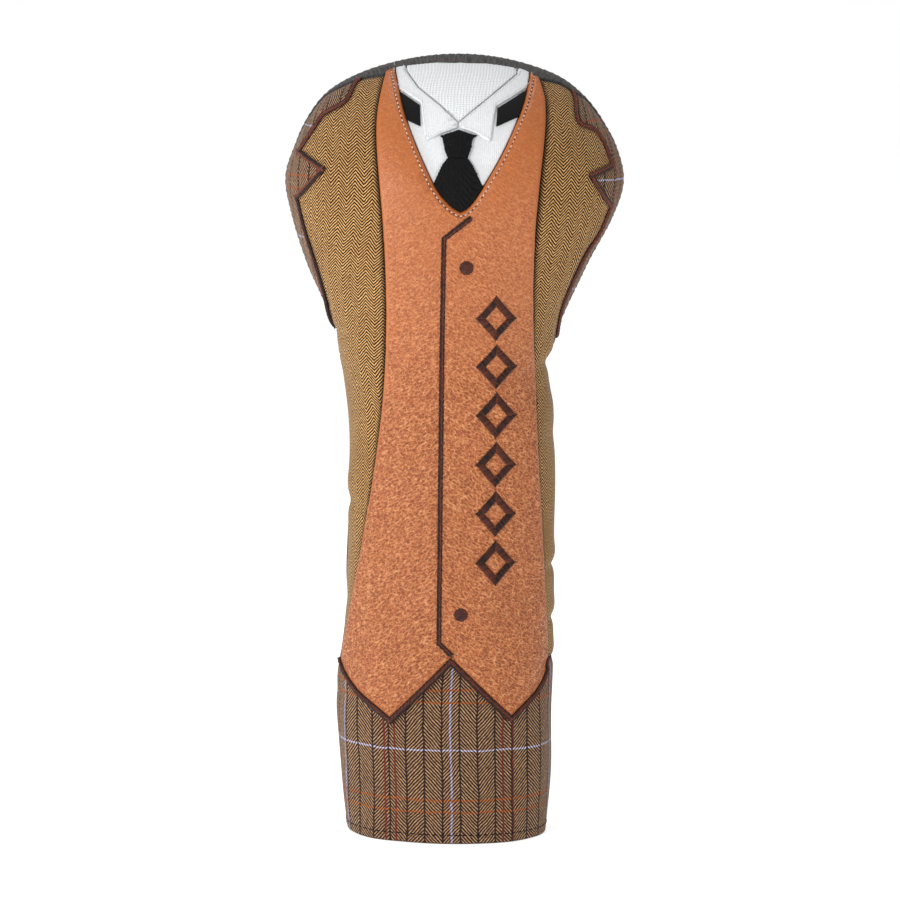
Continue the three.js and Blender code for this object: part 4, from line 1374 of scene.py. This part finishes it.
def make_diamond(number):
    """A diamond of four satin bars, mitred at its points, with the leather showing inside."""
    low, pitch, lean, half_width, half_height = 121, 20.6, 0.018, 8, 9.6
    z = low + pitch * (number - 1)
    x = 19 - lean * (z - low)
    outer = np.array([[x + half_width, z], [x, z + half_height],
                      [x - half_width, z], [x, z - half_height]])
    inner = np.array([x, z]) + (outer - [x, z]) * 0.5
    sets, parts = [], []
    for k in range(4):
        a, b = outer[k], outer[(k + 1) % 4]
        bar = np.array([a, b, inner[(k + 1) % 4], inner[k]])
        angle = math.atan2(b[1] - a[1], b[0] - a[0]) + HALF_TURN
        # Alternate bars are painted darker and lighter: painted sheen, for satin catching the light
        # by its stitch direction.
        sets += hatch(bar, angle - 0.2, 0.46, 0, 2.75, 0.75, 0.12 if k % 2 else 0.3, dome=0.15)
        parts.append(pad(bar, 2.1, 2.55, 0.15))
    parts.append(sewn(sets, BROWN_THREAD))
    make_piece(f"stitched_diamond_{number}_thread", parts, [f"stitched_diamond_{number}"])


def shirt_patch(outline, layer, radius, finish, *less):
    chosen = in_neck & inside(view, outline)
    for other in less:
        chosen &= ~inside(view, other)
    return patch(front_half, chosen, layer, radius, finish)


def make_shirt():
    shirt = patch(front_half, in_neck, SHIRT, 0.4, WHITE_CLOTH)
    piece = make_piece("shirt_front_cloth", [shirt], ["shirt_front"])
    as_cloth(shirt)
    inner = shirt_patch(INNER_COLLAR, ON_SHIRT, 0.5, RIBBED_CLOTH, COLLAR_LEFT, COLLAR_RIGHT)
    piece = make_piece("inner_collar_cloth", [inner], ["inner_collar"])
    as_cloth(inner)
    for side, outline in (("left", COLLAR_LEFT), ("right", COLLAR_RIGHT)):
        flap = shirt_patch(outline, COLLAR, 0.6, WHITE_CLOTH)
        hem = closed(outline)
        toward = 0.75 if signed_area(outline) > 0 else -0.75
        stitches = []
        for length in corners_of(offset(hem, toward)):
            if max(map(len, drawn(length)), default=0) > 2 and shows(length):
                stitches += row_of_stitches(length, 1.85, 1.3, (0.95, 0.3, 0.2), [(0, 0, 0.4)])
        piece = make_piece(f"collar_flap_{side}_cloth", [flap, sewn(stitches, GREY_THREAD)],
                           [f"collar_flap_{side}"])
        as_cloth(flap)
    for side, outline, collar in (("left", BRACE_LEFT, COLLAR_LEFT),
                                  ("right", BRACE_RIGHT, COLLAR_RIGHT)):
        band = shirt_patch(outline, ON_SHIRT, 0.4, BLACK_THREAD, collar)
        make_piece(f"brace_{side}_thread", [band], [f"brace_{side}"])
    for node, outline, ground, layer in (("tie_knot", KNOT, KNOT, COLLAR),
                                         ("tie_blade", BLADE, BLADE_GROUND, ON_SHIRT)):
        bed = shirt_patch(ground, (layer[0], layer[1] - 0.15), 0.6, BLACK_THREAD)
        fill = hatch(outline, HALF_TURN, 0.52, 2.6, layer[1] - 0.1, 0.42, 0.35, dome=0.5)
        make_piece(f"{node}_thread", [bed, sewn(fill, BLACK_THREAD)], [node])


def make_jacket():
    lapel_lanes = [(-0.85, -0.3, 0.0), (-0.3, 0.02, 0.1), (0.3, 0.02, 0.75), (0.85, -0.3, 0.6)]
    for side, lapel in (("left", LAPEL_LEFT), ("right", LAPEL_RIGHT)):
        cloth = patch(front_half, in_jacket[side], CLOTH, 0.8, HERRINGBONE)
        piece = make_piece(f"jacket_front_{side}_wool", [cloth], [f"jacket_front_{side}"])
        as_cloth(cloth)
        cloth = patch(front_half, in_shoulder[side], CLOTH, 0.8, PLAID)
        cloth["uv"] = cloth["uv"] + np.array([-12, -26] if side == "left" else [0, -5])
        piece = make_piece(f"shoulder_{side}_tweed", [cloth], [f"shoulder_{side}"])
        as_cloth(cloth)
        # The dark lanes lie on one side of each lapel's edging as painted shade; on the left lapel
        # they move to the other side below 289 mm.
        lanes = [(s if side == "left" else -s, r, t) for s, r, t in lapel_lanes]
        make_edging(f"lapel_edging_{side}", lapel, 2.1, (-0.9, 0.75), 0.25, lanes,
                    289 if side == "left" else 0)
    for node, half, chosen, behind in (
        ("hem_band_front", front_half, in_band, False),
        ("hem_band_back", back_half, in_back_band, True),
    ):
        cloth = patch(half, chosen, CLOTH, 0.9, PLAID)
        rows = hem_stitches(behind)
        piece = make_piece(f"{node}_tweed", [cloth, sewn(rows, BLACK_THREAD)], [node])
        as_cloth(cloth)
    for node, chosen, finish, slot in (
        ("back_head_panel", in_back_head, PLAID, "plaid"),
        ("back_neck_panel", in_back_neck, HERRINGBONE, "herringbone"),
    ):
        cloth = patch(back_half, chosen, CLOTH, 0.8, finish)
        piece = make_piece(f"{node}_wool", [cloth], [node])
        as_cloth(cloth)


def hem_stitches(behind):
    """The row of black topstitching that holds the turned-up hem."""
    turns = np.linspace(-HALF_TURN, HALF_TURN, 400) + (math.pi if behind else 0)
    points, normal = lay(turns, 4.2, 0.1)
    length = lengths_along(points)
    where = np.arange(1.5, length[-1] - 1, 3.1)
    place, ahead, out = (looked_up(values, length, where)
                         for values in (points, np.gradient(points, axis=0), normal))
    return [stitch_set(place, ahead, out, (2.3, 0.55, 0.4),
                       random.uniform(0.0, 0.3, len(where)))]


def surface_radius(angle, y):
    """How far the body's surface is from the head's middle, along a slanting ray in depth y."""
    shape = np.broadcast(angle, y).shape
    low, high = np.full(shape, 4.0), np.full(shape, 110.0)  # surely inside, and surely outside
    for _ in range(42):  # halving until no difference is left
        reach = (low + high) / 2
        x, z = reach * np.sin(angle), HEAD_MIDDLE + reach * np.cos(angle)
        width = np.maximum(column(WIDTH, z), 1e-6)
        depth = np.maximum(np.where(y < 0, column(FRONT, z), column(BACK, z)), 1e-6)
        outside = ((np.abs(x - column(SHIFT, z)) / width) ** ROUNDNESS
                   + (np.abs(y) / depth) ** ROUNDNESS > 1) | (z > CROWN_TOP)
        high, low = np.where(outside, reach, high), np.where(outside, low, reach)
    return low


def make_gusset():
    """The leather strip that runs up one side of the head, over the crown and down the other."""
    rows, cols = 420, 31
    foot = THROAT_SEAM + 0.5
    ends = [math.atan2(sign * (column(WIDTH, foot) + sign * column(SHIFT, foot)),
                       foot - HEAD_MIDDLE) for sign in (-1, 1)]
    angles = np.linspace(*ends, rows)[:, None]
    across = np.sin(np.linspace(-HALF_TURN, HALF_TURN, cols))[None, :]
    reaches = {}
    for behind in (False, True):
        half = np.full_like(angles, 5.0)
        for _ in range(16):  # the reach depends on the height of the strip's own edge
            edge = surface_radius(angles, half if behind else -half)
            half = (half + gusset_reach(HEAD_MIDDLE + edge * np.cos(angles), behind)) / 2
        reaches[behind] = np.maximum(half, 0.15)
    half = np.where(across < 0, reaches[False], reaches[True])
    y = across * half
    reach = surface_radius(np.broadcast_to(angles, y.shape), y)
    x, z = reach * np.sin(angles), HEAD_MIDDLE + reach * np.cos(angles)
    z = np.minimum(z, CROWN_TOP - 0.02)
    side = (x - column(SHIFT, z)) / np.maximum(column(WIDTH, z), 1e-6)
    deep = np.abs(y) / np.where(y < 0, column(FRONT, z), column(BACK, z))
    turn = np.arctan2(np.sign(side) * np.abs(side) ** (ROUNDNESS / 2),
                      -np.sign(y) * deep ** (ROUNDNESS / 2))
    length = lengths_along(np.stack([x, z], -1)[:, cols // 2])[:, None]
    to_edge = (1 - np.abs(across)) * half
    rounding, raised = 1.1, 0.3  # of the strip's edges, and of the strip above the cloth
    share = np.clip(to_edge / rounding, 0, 1)
    height = CLOTH[0] + 0.02 + (CLOTH[1] + raised - CLOTH[0]) * np.sqrt(1 - (1 - share) ** 2)
    # Fine creases run across the strip.
    creases = (np.sin(length * 2.1 + 1.5 * np.sin(length / 5) + y * 0.15) * 0.1
               + np.sin(length * 3.3 + 2 * np.sin(length / 7) - y * 0.2) * 0.07)
    # Where the strip hardly reaches the front, it lies lower beside the front's cloth.
    beside = (np.clip(1 - (y - np.minimum(y[:, :1], 0)) / 4, 0, 1)
              * np.clip(1 - reaches[False] / 3, 0, 1))
    height = height - 0.9 * beside
    height = height + creases * share + 0.25 * (1 - np.abs(across) ** 2) * np.minimum(half / 9, 1)
    skins = [lay(turn, z, out)[0].reshape(-1, 3) for out in (height, CLOTH[0])]
    faces = [f[::-1] for f in shell_faces(rows, cols)]  # the grid runs round the other way
    uv = np.stack([y, np.broadcast_to(length, y.shape)], -1).reshape(-1, 2)
    edge = np.tile(to_edge.ravel(), 2)
    strip = part(np.vstack(skins), faces, BLACK_LEATHER, uv=np.vstack([uv, uv]), edge=edge)
    piece = make_piece("crown_gusset_leather", [strip], ["crown_gusset"])
    as_cloth(strip)


def make_inside():
    for node, behind, bottom, top, layer in (
        ("head_padding_front", False, 203.2, CROWN_TOP, PADDING),
        ("head_padding_back", True, 203.2, CROWN_TOP, PADDING),
        ("neck_padding_front", False, 24.4, 202.8, PADDING),
        ("neck_padding_back", True, 24.4, 202.8, THIN_PADDING),
    ):
        wad = half_shell(behind, bottom, top, layer, FOAM)
        make_piece(f"{node}_wad", [wad], [node])
    for name, z in ELASTIC_ROWS.items():
        band = half_shell(True, z - 5, z + 5, ELASTIC, ELASTIC_CLOTH, 1.0)
        node = f"throat_elastic_{name}"
        piece = make_piece(f"{node}_band", [band], [node])
        as_cloth(band)
    for side, behind in (("front", False), ("back", True)):
        facing = half_shell(behind, 0.05, FACING_TOP, FACING, PLAID, 2.0)
        piece = make_piece(f"hem_facing_{side}_tweed", [facing], [f"hem_facing_{side}"])
        as_cloth(facing)
        pile = half_shell(behind, FACING_TOP + 0.3, CROWN_TOP, LINING, FLEECE)
        piece = make_piece(f"lining_{side}_fleece", [pile], [f"lining_{side}"])
        as_cloth(pile)
    pile = [half_shell(behind, 4, FACING_TOP, HEM_LINING, FLEECE, 2.0) for behind in (False, True)]
    piece = make_piece("hem_lining_fleece", pile, ["hem_lining"])
    # Its flat size is that of the two halves laid end to end.
    front, back = pile
    both = {"points": np.vstack([front["points"], back["points"]]),
            "uv": np.vstack([front["uv"], back["uv"] + [np.ptp(front["uv"][:, 0]), 0]]),
            "faces": front["faces"] + [tuple(i + len(front["points"]) for i in f)
                                       for f in back["faces"]]}
    as_cloth(both)


for which in BUTTONS:
    make_button(which)
for number in range(1, 7):
    make_diamond(number)
make_shirt()
make_jacket()
make_gusset()
make_inside()

# Studio -------------------------------------------------------------------------------------


def place_camera():
    """The camera stands 1.3 m off, a little above the middle, and leans by a degree."""
    elevation, lean, distance = math.radians(8.5), math.radians(1.024), 1.3
    back = Vector((0, -math.cos(elevation), math.sin(elevation)))
    level = Vector((1, 0, 0))
    up = back.cross(level)
    right = level * math.cos(lean) + up * math.sin(lean)
    up = up * math.cos(lean) - level * math.sin(lean)
    camera = bpy.data.objects.new("camera", bpy.data.cameras.new("camera"))
    camera.data.sensor_width = 36
    camera.data.lens = 123.4
    place = Matrix((right, up, back)).transposed().to_4x4()
    place.translation = Vector((0.00003, MIDDLE, 0.1632)) + back * distance
    camera.matrix_world = place
    bpy.context.scene.collection.objects.link(camera)
    bpy.context.scene.camera = camera


def place_light(name, place, size, power):
    """A round soft light, turned to the cover's middle."""
    light = bpy.data.lights.new(name, "AREA")
    light.shape, light.size, light.energy = "DISK", size, power
    lamp = bpy.data.objects.new(name, light)
    lamp.location = place
    lamp.rotation_mode = "QUATERNION"
    lamp.rotation_quaternion = (Vector((0, 0, 0.17)) - Vector(place)).to_track_quat("-Z", "Y")
    bpy.context.scene.collection.objects.link(lamp)


def build_studio():
    """A white floor and backdrop colour, with a soft key light from the left."""
    white = (1, 1, 1, 1)
    mesh = bpy.data.meshes.new("floor")
    half = 6.0
    mesh.from_pydata([(-half, -half, 0), (half, -half, 0), (half, half, 0), (-half, half, 0)], [],
                     [(0, 1, 2, 3)])
    floor = bpy.data.objects.new("floor", mesh)
    material, tree, shader = finish_base("white_paper", {
        "Roughness": 0.9, "Specular IOR Level": 0.1, "Emission Color": white,
        "Emission Strength": 0.62,
    })
    where = add(tree, "ShaderNodeTexCoord")
    grain = add(tree, "ShaderNodeTexNoise", {"Vector": where.outputs["Object"], "Scale": 60.0})
    tint = add(tree, "ShaderNodeMix", {"Factor": grain, "A": linear("#FBFBFB"),
                                       "B": linear("#FFFFFF")}, data_type="RGBA")
    connect(tree, shader, tint.outputs["Result"], None)
    mesh.materials.append(material)
    bpy.context.scene.collection.objects.link(floor)
    world = bpy.data.worlds.new("studio")
    world.use_nodes = True
    tree = world.node_tree
    room = tree.nodes["Background"]
    room.inputs["Color"].default_value = white
    room.inputs["Strength"].default_value = 0.42
    backdrop = add(tree, "ShaderNodeBackground", {"Color": white, "Strength": 1.0})
    seen = add(tree, "ShaderNodeLightPath")
    both = add(tree, "ShaderNodeMixShader", {
        0: seen.outputs["Is Camera Ray"], 1: room, 2: backdrop,
    })
    tree.links.new(both.outputs[0], tree.nodes["World Output"].inputs["Surface"])
    bpy.context.scene.world = world
    bpy.context.scene.view_settings.view_transform = "Standard"
    place_light("key", (-0.8, -1.2, 0.6), 0.4, 8.5)
    place_light("side", (-1.25, -0.45, 0.25), 0.25, 5)
    place_light("fill", (1.1, -1.2, 0.4), 0.8, 2.5)
    place_light("top", (0, 0.1, 1.4), 0.6, 3.5)


place_camera()
build_studio()
